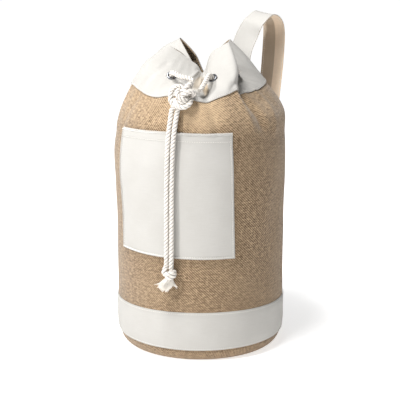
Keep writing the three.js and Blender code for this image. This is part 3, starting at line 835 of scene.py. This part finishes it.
def bag_turns(count):
    """Turns of evenly spaced columns round the bag, in the order that faces its cloth outwards."""
    return np.arange(count) * 360.0 / count * -1.0


def cloth_lengths(turns):
    """Places across the cloth in metres for columns at these turns, then for the first one again."""
    return -np.radians(np.append(turns, turns[0] - 360)) * BODY_RADIUS * MM


# Rope


def rope_route(rows, step):
    """Evenly spaced points in metres along a smooth centripetal curve through rows in mm."""
    given = np.array(rows, float) * MM
    points = np.concatenate([[2 * given[0] - given[1]], given, [2 * given[-1] - given[-2]]])
    fine = []
    for k in range(1, len(points) - 2):
        p0, p1, p2, p3 = points[k - 1:k + 3]
        d0, d1, d2 = (math.sqrt(np.linalg.norm(b - a)) for a, b in ((p0, p1), (p1, p2), (p2, p3)))
        m1 = ((p1 - p0) / d0 - (p2 - p0) / (d0 + d1) + (p2 - p1) / d1) * d1
        m2 = ((p2 - p1) / d1 - (p3 - p1) / (d1 + d2) + (p3 - p2) / d2) * d1
        t = np.linspace(0, 1, 40, endpoint=False)[:, None]
        bend = 3 * (p2 - p1) - 2 * m1 - m2
        turn_back = 2 * (p1 - p2) + m1 + m2
        fine.append(p1 + m1 * t + bend * t ** 2 + turn_back * t ** 3)
    fine = np.concatenate([*fine, given[-1:]])
    run = run_along(fine)
    even = np.linspace(0, run[-1], max(int(round(run[-1] / step)), 3) + 1)
    return np.stack([np.interp(even, run, fine[:, axis]) for axis in range(3)], axis=-1), run[-1]


def rope_mesh(route, radius, lay):
    """Points, faces and map of a twisted rope along a route."""
    tangents = np.gradient(route, axis=0)
    tangents /= np.linalg.norm(tangents, axis=1)[:, None]
    side = np.cross(tangents[0], (0.3, 1, 0.2))
    first_axes = []
    for tangent in tangents:
        side = side - tangent * side.dot(tangent)
        side /= np.linalg.norm(side)
        first_axes.append(side)
    first_axes = np.array(first_axes)
    second_axes = np.cross(tangents, first_axes)
    run = run_along(route)
    angles = 2 * math.pi * np.arange(ROPE_SIDES) / ROPE_SIDES
    reach = radius * (ROPE_VALLEY + (1 - ROPE_VALLEY) * np.abs(np.cos(STRANDS / 2 * angles)) ** 0.7)
    a = angles[None, :] + (2 * math.pi * run / lay)[:, None]
    rings = (
        route[:, None]
        + first_axes[:, None] * (reach * np.cos(a))[..., None]
        + second_axes[:, None] * (reach * np.sin(a))[..., None]
    )
    points = np.concatenate([rings.reshape(-1, 3), route[:1], route[-1:]])
    row, column = ring_cells(len(route), ROPE_SIDES)
    faces = (row * ROPE_SIDES + column % ROPE_SIDES).tolist()
    maps = np.stack([run[row], column / ROPE_SIDES], axis=-1).reshape(-1, 2).tolist()
    start = len(points) - 2
    last = start - ROPE_SIDES
    for s in range(ROPE_SIDES):
        n = (s + 1) % ROPE_SIDES
        here, there = s / ROPE_SIDES, (s + 1) / ROPE_SIDES
        faces += [(start, n, s), (start + 1, last + s, last + n)]
        maps += [(0, 0), (0, there), (0, here), (run[-1], 0), (run[-1], here), (run[-1], there)]
    return points, faces, maps


def rope_object(name, routes):
    """One piece of twisted rope along one or more routes."""
    points, faces, maps = [], [], []
    start = 0
    for route in routes:
        part, part_faces, part_maps = rope_mesh(route, sizes().rope_diameter / 2, sizes().rope_lay)
        points.append(part)
        faces += [[corner + start for corner in face] for face in part_faces]
        maps += part_maps
        start += len(part)
    return make_object(name, np.concatenate(points), faces, maps, [material(cotton_rope)], 80)


def turned(degrees, axis):
    return Matrix.Rotation(math.radians(degrees), 3, axis)


def knot_frame():
    return np.array(turned(KNOT_TURN, "Z") @ turned(KNOT_LEAN, "X")), np.array(KNOT_CENTRE)


def tassel_frame():
    return np.array(turned(KNOT_TURN, "Z")), np.array(END_KNOT_CENTRE)


def placed(rows, place):
    turn, centre = place
    return np.array(rows, float) @ turn.T + centre


def knot_object(name, strands, place):
    return rope_object(name, [rope_route(placed(rows, place), ROPE_STEP)[0] for rows in strands])


# Geometry nodes for what repeats along a line


def line_tree(name, build):
    """A geometry tree whose geometry passes through build, is realized and gets its material."""
    group = bpy.data.node_groups.new(name, "GeometryNodeTree")
    group.is_modifier = True
    group.interface.new_socket("Geometry", in_out="INPUT", socket_type="NodeSocketGeometry")
    for socket in ("Pitch", "Length", "Thickness"):
        group.interface.new_socket(socket, in_out="INPUT", socket_type="NodeSocketFloat")
    group.interface.new_socket("Material", in_out="INPUT", socket_type="NodeSocketMaterial")
    group.interface.new_socket("Geometry", in_out="OUTPUT", socket_type="NodeSocketGeometry")
    tree = Tree(group)
    entry = tree.add("NodeGroupInput")
    shape = build(tree, entry)
    real = tree.add("GeometryNodeRealizeInstances", [shape])
    done = tree.add("GeometryNodeSetMaterial", {"Geometry": real, "Material": entry.out("Material")})
    tree.add("NodeGroupOutput", [done])
    return group


def stitches_along(tree, entry):
    """Short rounded stitches laid end to end, a gap apart, along each line."""
    line = tree.add("GeometryNodeMeshToCurve", [entry.out("Geometry")])
    spacing = {"Curve": line, "Length": entry.out("Pitch")}
    spaced = tree.add("GeometryNodeResampleCurve", spacing, mode="LENGTH")
    tangent = tree.add("GeometryNodeInputTangent")
    facing = tree.add("FunctionNodeAlignRotationToVector", {"Vector": tangent}, axis="Z")
    ball = tree.add("GeometryNodeMeshUVSphere", {"Segments": 6, "Rings": 4, "Radius": 0.5})
    thickness = entry.out("Thickness")
    scale = tree.vector(thickness, thickness, entry.out("Length"))
    shaped = tree.add("GeometryNodeTransform", {"Geometry": ball, "Scale": scale})
    smooth = tree.add("GeometryNodeSetShadeSmooth", [shaped])
    inputs = {"Points": spaced, "Instance": smooth, "Rotation": facing}
    return tree.add("GeometryNodeInstanceOnPoints", inputs)


def threads_along(tree, entry):
    """A thin round thread along each line."""
    line = tree.add("GeometryNodeMeshToCurve", [entry.out("Geometry")])
    outline = {"Resolution": 4, "Radius": 0.5}
    ring = tree.add("GeometryNodeCurvePrimitiveCircle", outline, mode="RADIUS")
    scale = tree.vector(*[entry.out("Thickness")] * 3)
    thick = tree.add("GeometryNodeTransform", {"Geometry": ring, "Scale": scale})
    inputs = {"Curve": line, "Profile Curve": thick, "Fill Caps": True}
    return tree.add("GeometryNodeCurveToMesh", inputs)


def lines_object(name, lines, tree, thickness, finish, pitch=0.0, length=0.0):
    """A plain mesh made by a geometry tree from lines of points in metres."""
    points = np.concatenate(lines)
    edges = []
    start = 0
    for line in lines:
        edges += [(start + k, start + k + 1) for k in range(len(line) - 1)]
        start += len(line)
    mesh = bpy.data.meshes.new(name)
    mesh.from_pydata(points.tolist(), edges, [])
    carrier = bpy.data.objects.new(name + "_lines", mesh)
    bpy.context.scene.collection.objects.link(carrier)
    modifier = carrier.modifiers.new("lines", "NODES")
    modifier.node_group = tree
    values = {"Pitch": pitch, "Length": length, "Thickness": thickness, "Material": finish}
    for item in tree.interface.items_tree:
        if item.in_out == "INPUT" and item.name in values:
            modifier[item.identifier] = values[item.name]
    made = bpy.data.meshes.new_from_object(carrier.evaluated_get(bpy.context.evaluated_depsgraph_get()))
    bpy.data.objects.remove(carrier)
    made.name = name
    piece = bpy.data.objects.new(name, made)
    bpy.context.scene.collection.objects.link(piece)
    return piece


def get_tree(name, build):
    return bpy.data.node_groups.get(name) or line_tree(name, build)


# Stage

CAMERA_TURN = 25
CAMERA_DISTANCE = 1.9
CAMERA_HEIGHT = 0.6875
CAMERA_PITCH = 13.8
FOCAL_PIXELS = 1249.9
PICTURE_PIXELS = 400
SENSOR = 36
SIDE_SHIFT = -0.4


LIGHT_COLUMNS = ("name", "at", "size", "power")
LIGHT_ROWS = [
    ("key", (-0.75, -1.5, 1.5), 0.24, 28),
    ("front top", (-0.15, -0.6, 1.9), 0.6, 30),
]
LIGHT_AIM = (0, 0, 0.25)
WORLD_LIGHT = 0.07
FLOOR_HALF = 14


class BAG_OT_stage(bpy.types.Operator):
    """Makes the camera, the lights and the pale floor"""

    bl_idname = "bag.stage"
    bl_label = "Stage"

    def execute(self, context):
        scene = context.scene
        turn = math.radians(CAMERA_TURN)
        camera = bpy.data.objects.new("camera", bpy.data.cameras.new("camera"))
        across, away = math.sin(turn), -math.cos(turn)
        camera.location = (CAMERA_DISTANCE * across, CAMERA_DISTANCE * away, CAMERA_HEIGHT)
        camera.rotation_euler = (math.radians(90 - CAMERA_PITCH), 0, turn)
        camera.data.sensor_width = SENSOR
        camera.data.lens = FOCAL_PIXELS / PICTURE_PIXELS * SENSOR
        camera.data.shift_x = SIDE_SHIFT / PICTURE_PIXELS
        scene.collection.objects.link(camera)
        scene.camera = camera
        scene.view_settings.view_transform = "Standard"
        self.lights(scene)
        self.floor()
        return {"FINISHED"}

    def lights(self, scene):
        for values in LIGHT_ROWS:
            row = dict(zip(LIGHT_COLUMNS, values))
            data = bpy.data.lights.new(row["name"], "AREA")
            data.shape = "DISK"
            data.size = row["size"]
            data.energy = row["power"]
            light = bpy.data.objects.new(row["name"], data)
            light.location = row["at"]
            aim = Vector(LIGHT_AIM) - light.location
            light.rotation_euler = aim.to_track_quat("-Z", "Y").to_euler()
            scene.collection.objects.link(light)
        world = bpy.data.worlds.new("studio")
        world.use_nodes = True
        background = world.node_tree.nodes["Background"]
        background.inputs["Color"].default_value = (1, 1, 1, 1)
        background.inputs["Strength"].default_value = WORLD_LIGHT
        scene.world = world

    def floor(self):
        corners = [(x * FLOOR_HALF, y * FLOOR_HALF, 0) for x, y in ((-1, -1), (1, -1), (1, 1), (-1, 1))]
        floor = make_object("floor", corners, [[0, 1, 2, 3]])
        finish, tree = new_material("pale_floor")
        # Painted light: the floor glows, dimmer within about 0.42 m of the middle, and its glow also lights
        # the bag from below.
        away = tree.add("ShaderNodeVectorMath", [object_place(tree)], operation="LENGTH").out("Value")
        shade = tree.mix(away.between(0.10, 0.42), rgba(colours().floor, 0.74), rgba(colours().floor, 1.05))
        surface(tree, rgba(colours().floor), 0.9, **{"Emission Color": shade, "Emission Strength": 1.0})
        floor.data.materials.append(finish)


# Pieces


class BAG_OT_drawstring_ends(bpy.types.Operator):
    """Makes the two hanging ends of the drawstring, the end knot and its frayed threads"""

    bl_idname = "bag.drawstring_ends"
    bl_label = "Drawstring ends"

    def execute(self, context):
        ends = {"left": LEFT_END, "right": RIGHT_END}
        ties = [rows for name, rows in KNOT_STRANDS.items() if name not in ends]
        front = knot_object("rope_front_knot", ties, knot_frame())
        settle(front, "cotton", "front_knot")
        knot = knot_object("rope_end_knot", END_KNOT_STRANDS.values(), tassel_frame())
        settle(knot, "cotton", "end_knot")
        fray = settle(self.fray(), "cotton", "frayed_ends")
        for side, rows in ends.items():
            start = placed(KNOT_STRANDS[side][:3], knot_frame()).tolist()
            end = placed(TAIL_ENDS[side], tassel_frame()).tolist()
            route, length = rope_route(start + rows + end, ROPE_STEP)
            piece = rope_object(f"rope_end_{side}", [route])
            settle(piece, "cotton", f"drawstring_end_{side}")
        return {"FINISHED"}

    def fray(self):
        """Loose threads: most fan out down to the left, and a wisp stands off to the right."""
        place = tassel_frame()
        rng = np.random.default_rng(7)
        count = sizes().fray_threads
        lines = []
        for k in range(count):
            turn = rng.uniform(0, 2 * math.pi)
            reach = FRAY_REACH * math.sqrt(rng.uniform())
            start = np.array([-1 + reach * math.cos(turn), reach * math.sin(turn) * 0.7, FRAY_TOP])
            if k < WISP_SHARE * count:
                end = np.array(WISP_END) + rng.normal(0, 0.7, 3)
            else:
                fan = start[0] / FRAY_REACH + rng.normal(0, 0.25)
                depth = start[1] * 1.6 - 1 + rng.normal(0, 1)
                end = np.array([FRAY_DRIFT + 8.5 * fan, depth, FRAY_LOW + 5 * abs(fan) + rng.normal(0, 1.6)])
            t = np.linspace(0, 1, 8)[:, None]
            side = np.array([math.copysign(1.5, end[0] - FRAY_DRIFT), 0, -2])
            curl = side + rng.normal(0, 0.8, 3)
            bow = np.sin(math.pi * t) * curl + np.sin(2.4 * math.pi * t) * rng.normal(0, 0.5, 3) * t
            lines.append(placed(start + (end - start) * t + bow, place) * MM)
        tree = get_tree("threads along lines", threads_along)
        finish = thread_material("frayed_cotton", [part * 1.25 for part in colours().cotton])
        return lines_object("rope_frayed_ends", lines, tree, FRAY_THREAD, finish)


class BAG_OT_drawstring_loop(bpy.types.Operator):
    """Makes the part of the drawstring that runs through the eyelets"""

    bl_idname = "bag.drawstring_loop"
    bl_label = "Drawstring loop"

    def execute(self, context):
        rows = list(FROM_LEFT_OF_KNOT)
        for k, place in enumerate(eyelet_places()):
            inward = [ROPE_OUT, ROPE_STRAIGHT, -ROPE_STRAIGHT, -ROPE_IN]
            stops = inward if k % 2 == 0 else inward[::-1]
            rows += [tuple(place["centre"] / MM + place["normal"] * stop) for stop in stops]
            if k == 3:
                rows.append(BACK_VALLEY_SAG)
        rows += TO_RIGHT_OF_KNOT
        route = rope_route(rows, LOOP_STEP)[0]
        settle(rope_object("rope_loop", [route]), "cotton", "drawstring_loop")
        return {"FINISHED"}


class BAG_OT_body(bpy.types.Operator):
    """Makes the jute body, from the base seam to the rim"""

    bl_idname = "bag.body"
    bl_label = "Jute body"

    def execute(self, context):
        turns = bag_turns(BODY_COLUMNS)
        heights = np.concatenate([np.linspace(0, CHEST, 46)[:-1], np.linspace(CHEST, RIM, 64)])
        piece = pierced_sheet("jute_body", turns, heights, (INSIDE, -CLOTH_GAP / 2), jute_weave)
        settle(piece, "jute", "body")
        return {"FINISHED"}


class BAG_OT_base(bpy.types.Operator):
    """Makes the round jute base, whose edge turns up to meet the body"""

    bl_idname = "bag.base"
    bl_label = "Round base"

    def execute(self, context):
        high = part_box("base")[1].z / MM
        shares = np.linspace(0, 1, 26) ** 1.8
        flat = np.linspace(0, FLOOR_RADIUS, 30)[1:-1]
        rises = np.concatenate([0 * flat, high * shares])
        edge = foot_reach(high * shares)
        inner_rises = np.maximum(rises, BASE_THICKNESS)
        turns = bag_turns(BASE_COLUMNS)
        outer = on_ring(turns, np.concatenate([flat, edge])[:, None], rises[:, None])
        inner = on_ring(turns, np.concatenate([flat, edge - BASE_THICKNESS])[:, None], inner_rises[:, None])
        middles = [(0, 0, 0), (0, 0, BASE_THICKNESS)]
        points = np.concatenate([outer.reshape(-1, 3), inner.reshape(-1, 3), middles]) * MM
        row, column = ring_cells(len(rises), BASE_COLUMNS)
        cells = row * BASE_COLUMNS + column % BASE_COLUMNS
        inside = len(rises) * BASE_COLUMNS
        faces = [*cells.tolist(), *(cells[:, [1, 0, 3, 2]] + inside).tolist()]
        top = inside - BASE_COLUMNS
        for c in range(BASE_COLUMNS):
            n = (c + 1) % BASE_COLUMNS
            faces.append([top + c, top + n, inside + top + n, inside + top + c])
            faces.append([2 * inside, n, c])
            faces.append([2 * inside + 1, inside + c, inside + n])
        corners = points[np.concatenate(faces)]
        reach = np.hypot(corners[:, 0], corners[:, 1])
        maps = corners[:, :2] * (1 + corners[:, 2] / np.maximum(reach, 1e-6))[:, None]
        piece = make_object("jute_base", points, faces, maps, [material(jute_weave)])
        settle(piece, "jute", "base")
        return {"FINISHED"}


class BAG_OT_collar(bpy.types.Operator):
    """Makes the gathered canvas collar that holds the eyelets"""

    bl_idname = "bag.collar"
    bl_label = "Canvas collar"

    def execute(self, context):
        turns = bag_turns(COLLAR_COLUMNS)
        heights = np.linspace(SEAM, RIM, 56)
        piece = pierced_sheet("canvas_collar", turns, heights, (CLOTH_GAP / 2, OUTSIDE), canvas_weave)
        settle(piece, "canvas", "collar")
        return {"FINISHED"}


class BAG_OT_band(bpy.types.Operator):
    """Makes the canvas band round the foot of the body"""

    bl_idname = "bag.band"
    bl_label = "Canvas band"

    def execute(self, context):
        turns = bag_turns(BODY_COLUMNS)
        turn_grid, rise = np.meshgrid(turns, np.linspace(0, 1, 30))
        heights = BAND_BOTTOM + (BAND_TOP - BAND_BOTTOM) * rise[:, 0]
        height_grid = BAND_BOTTOM + (band_top(turn_grid) - BAND_BOTTOM) * rise
        outside = OUTSIDE - BAND_THINNING * np.clip(1 - (1 - rise) / BAND_THIN_PART, 0, 1)
        skins = [on_cloth(turn_grid, height_grid, distance) for distance in (CLOTH_GAP / 2, outside)]
        piece = sheet_object("canvas_band", *skins, cloth_lengths(turns), heights * MM, True, canvas_weave)
        settle(piece, "canvas", "band")
        return {"FINISHED"}


def pocket_places(across, rise):
    """Turns and heights on the cloth, for shares of the pocket's width and height."""
    left_turn, left_height, right_turn, right_height = (
        POCKET_CORNERS["bottom " + side][part] * (1 - rise) + POCKET_CORNERS["top " + side][part] * rise
        for side in ("left", "right") for part in (0, 1)
    )
    swell = POCKET_TOP_SWELL * np.sin(math.pi * across) * rise
    turn = left_turn + (right_turn - left_turn) * across
    return -turn, left_height + (right_height - left_height) * across + swell


def pocket_size():
    """Mean width and height of the pocket in mm."""
    lower_left, lower_right, upper_left, upper_right = (np.array(row) for row in POCKET_CORNERS.values())
    spread = lower_right[0] + upper_right[0] - lower_left[0] - upper_left[0]
    rise = upper_left[1] + upper_right[1] - lower_left[1] - lower_right[1]
    return math.radians(spread / 2) * BODY_RADIUS, rise / 2 + POCKET_TOP_SWELL / 2


class BAG_OT_pocket(bpy.types.Operator):
    """Makes the patch pocket, with its turned edges and its hem"""

    bl_idname = "bag.pocket"
    bl_label = "Patch pocket"

    def execute(self, context):
        across = np.linspace(0, 1, 170)
        rise = np.linspace(0, 1, 140)
        turn_grid, height_grid = pocket_places(*np.meshgrid(across, rise))
        width, height = pocket_size()
        from_side = np.minimum(across, 1 - across)[None, :] * width + 0 * turn_grid
        from_bottom = rise[:, None] * height + 0 * turn_grid
        from_top = height - from_bottom
        edge = np.minimum(np.minimum(from_side, from_bottom), from_top)
        rolled = 0.9 * ridge(edge, 0.9, 1.0) - 0.35 * ridge(edge, 3.2, 0.7)
        hem = 0.12 * (from_top < POCKET_HEM) - 0.12 * ridge(from_top, POCKET_HEM, 0.8)
        puff = 0.25 * np.sin(turn_grid * 0.21) * np.sin(height_grid * 0.05)
        outer = OUTSIDE + 0.6 + rolled + hem + puff
        skins = [on_cloth(turn_grid, height_grid, distance) for distance in (CLOTH_GAP / 2 + 0.3, outer)]
        u, v = across * width * MM, rise * height * MM
        piece = sheet_object("canvas_pocket", *skins, u, v, False, canvas_weave)
        settle(piece, "canvas", "pocket")
        width * MM
        height * MM
        return {"FINISHED"}


class BAG_OT_eyelets(bpy.types.Operator):
    """Makes the rolled steel eyelets of the collar"""

    bl_idname = "bag.eyelets"
    bl_label = "Eyelets"

    def execute(self, context):
        out, back = OUTSIDE - EYELET_BITE, INSIDE + EYELET_BITE
        roll = np.radians(np.linspace(-20, 200, 14))
        middle = (EYE + FLANGE) / 2
        half = (FLANGE - EYE) / 2
        profile = np.array([
            (EYE, INSIDE - 1.1), (WASHER - 0.6, INSIDE - 1.1), (WASHER, INSIDE - 0.4), (WASHER, back),
            (BARREL, back), (BARREL, out),
            *[(middle + half * math.cos(a), OUTSIDE + 0.1 + 1.15 * math.sin(a)) for a in roll],
        ])
        count = len(profile)
        segment, stop = ring_cells(EYELET_SEGMENTS, count, whole=True)
        faces = (segment % EYELET_SEGMENTS * count + stop % count)[:, [0, 3, 2, 1]]
        a = 2 * math.pi * np.arange(EYELET_SEGMENTS) / EYELET_SEGMENTS
        for k, place in enumerate(eyelet_places()):
            ring = np.outer(np.cos(a), place["side"]) + np.outer(np.sin(a), place["up"])
            reach, rise = profile[None, :, :1] * MM, profile[None, :, 1:] * MM
            points = place["centre"] + reach * ring[:, None] + rise * place["normal"]
            finish = [material(eyelet_steel)]
            piece = make_object(f"eyelet_ring_{k + 1}", points.reshape(-1, 3), faces, None, finish, 40)
            settle(piece, "steel", f"eyelet_{k + 1}")
        return {"FINISHED"}


def strap_grid(steps, across, distance):
    """Points of the strap in metres at shares of its width and a distance in mm off its middle."""
    values = np.array(STRAP_ROWS, float)
    places = np.arange(len(values), dtype=float)
    at = np.linspace(0, len(values) - 1, steps)
    middle = through(places, values, at)
    ahead = through(places, values, np.minimum(at + 0.05, len(values) - 1))
    behind = through(places, values, np.maximum(at - 0.05, 0))
    along = ahead[:, :3] - behind[:, :3]
    along /= np.linalg.norm(along, axis=1)[:, None]
    plan, tilt = np.radians(middle[:, 3]), np.radians(middle[:, 4])
    width = np.stack([np.cos(plan) * np.cos(tilt), np.sin(plan) * np.cos(tilt), np.sin(tilt)], axis=-1)
    width -= along * (width * along).sum(1)[:, None]
    width /= np.linalg.norm(width, axis=1)[:, None]
    out = np.cross(along, width)
    half = sizes().strap_width / 2 / MM
    cup = STRAP_CUP * (across ** 2 - 0.33)
    return (
        middle[:, None, :3]
        + width[:, None] * (across * half)[None, :, None]
        + out[:, None] * (distance + cup)[None, :, None]
    ) * MM


class BAG_OT_strap(bpy.types.Operator):
    """Makes the shoulder strap, off-white outside and tan inside"""

    bl_idname = "bag.strap"
    bl_label = "Shoulder strap"

    def execute(self, context):
        across = np.linspace(-1, 1, 25)
        face = STRAP_THICKNESS / 2 - 0.15 * ridge(np.abs(across), STRAP_EDGE, 0.06)
        canvas_face = strap_grid(STRAP_STEPS, across, face)
        tan_face = strap_grid(STRAP_STEPS, across, -face)
        run = run_along(canvas_face[:, len(across) // 2])
        u = across * sizes().strap_width / 2
        piece = sheet_object("strap_web_long", canvas_face, tan_face, u, run, False, strap_web)
        self.mark_inner_face(piece)
        settle(piece, "webbing", "strap")
        return {"FINISHED"}

    def mark_inner_face(self, piece):
        """Marks the points of the strap's tan face, which are the second half of its mesh."""
        mesh = piece.data
        values = np.zeros(len(mesh.vertices), np.float32)
        values[len(mesh.vertices) // 2:] = 1.0
        attribute = mesh.attributes.new("inner_face", "FLOAT", "POINT")
        attribute.data.foreach_set("value", values)


class BAG_OT_stitching(bpy.types.Operator):
    """Sews the seams of the pocket, collar, band and strap, and binds the pocket's edges"""

    bl_idname = "bag.stitching"
    bl_label = "Stitching"

    def execute(self, context):
        tree = get_tree("stitches along lines", stitches_along)
        white = thread_material("white_thread", (0.80, 0.78, 0.73))
        pitch, thread = sizes().stitch_pitch, sizes().thread_diameter
        lift = OUTSIDE + 0.1
        above = OUTSIDE + 0.75
        ring = np.linspace(0, 360, 721)
        whole = np.linspace(0, 1, 200)
        upright = whole * 0.98 + 0.01
        strap = strap_grid(700, np.array([-STRAP_EDGE, STRAP_EDGE]), -STRAP_THICKNESS / 2 - 0.1)
        seams = {
            "stitches_pocket": [
                on_cloth(*pocket_places(POCKET_SEAM, upright), above),
                on_cloth(*pocket_places(1 - POCKET_SEAM, upright), above),
                on_cloth(*pocket_places(whole * 0.97 + 0.015, POCKET_SEAM), above),
                on_cloth(*pocket_places(upright, POCKET_HEM_SEAM), above + 0.5),
            ],
            "stitches_collar": [on_cloth(ring, SEAM + SEAM_EDGE, lift)],
            "stitches_band": [
                on_cloth(ring, band_top(ring) - SEAM_EDGE, lift),
                on_cloth(ring, BAND_BOTTOM + SEAM_EDGE, lift),
            ],
            "stitches_strap": [strap[:, 0], strap[:, 1]],
        }
        slots = {"stitches_strap": "webbing"}
        for name, lines in seams.items():
            piece = lines_object(name, lines, tree, thread, white, pitch, pitch * STITCH_SHARE)
            settle(piece, slots.get(name, "canvas"))
        threads = get_tree("threads along lines", threads_along)
        bright = thread_material("binding_thread", (0.94, 0.92, 0.88))
        piece = lines_object("pocket_border", self.zigzags(), threads, thread * 1.6, bright)
        settle(piece, "canvas")
        return {"FINISHED"}

    def zigzags(self):
        """Zigzag lines that bind the pocket's four edges."""
        width, height = pocket_size()
        lines = []
        for length, other in ((width, height), (height, width)):
            place = np.linspace(0, 1, int(length / ZIGZAG_PITCH) + 1)
            outer_row = np.arange(len(place)) % 2 == 0
            depth = np.where(outer_row, -ZIGZAG_OUT, ZIGZAG_IN) / other
            lift = np.where(outer_row, 0.6, OUTSIDE + 1.9)
            for level in (0, 1):
                beside = np.abs(level - depth)
                across, rise = (place, beside) if length == width else (beside, place)
                lines.append(on_cloth(*pocket_places(across, rise), lift))
        return lines


PIECES = (
    BAG_OT_stage,
    BAG_OT_drawstring_ends,
    BAG_OT_drawstring_loop,
    BAG_OT_body,
    BAG_OT_base,
    BAG_OT_collar,
    BAG_OT_band,
    BAG_OT_pocket,
    BAG_OT_eyelets,
    BAG_OT_strap,
    BAG_OT_stitching,
)


class BAG_PT_panel(bpy.types.Panel):
    """Lists the bag's sizes, colours and pieces"""

    bl_idname = "BAG_PT_panel"
    bl_label = "Jute duffel bag"
    bl_space_type = "VIEW_3D"
    bl_region_type = "UI"
    bl_category = "Bag"

    def draw(self, context):
        for group in (sizes(), colours()):
            for name in group.__annotations__:
                self.layout.prop(group, name)
        for piece in PIECES:
            self.layout.operator(piece.bl_idname)


CLASSES = (BagSizes, BagColours, *PIECES, BAG_PT_panel)


def register():
    for item in CLASSES:
        bpy.utils.register_class(item)
    bpy.types.Scene.bag_sizes = PointerProperty(type=BagSizes)
    bpy.types.Scene.bag_colours = PointerProperty(type=BagColours)


def unregister():
    del bpy.types.Scene.bag_sizes
    del bpy.types.Scene.bag_colours
    for item in reversed(CLASSES):
        bpy.utils.unregister_class(item)


def main():
    register()
    for piece in PIECES:
        group, name = piece.bl_idname.split(".")
        getattr(getattr(bpy.ops, group), name)()


if __name__ == "__main__":
    main()
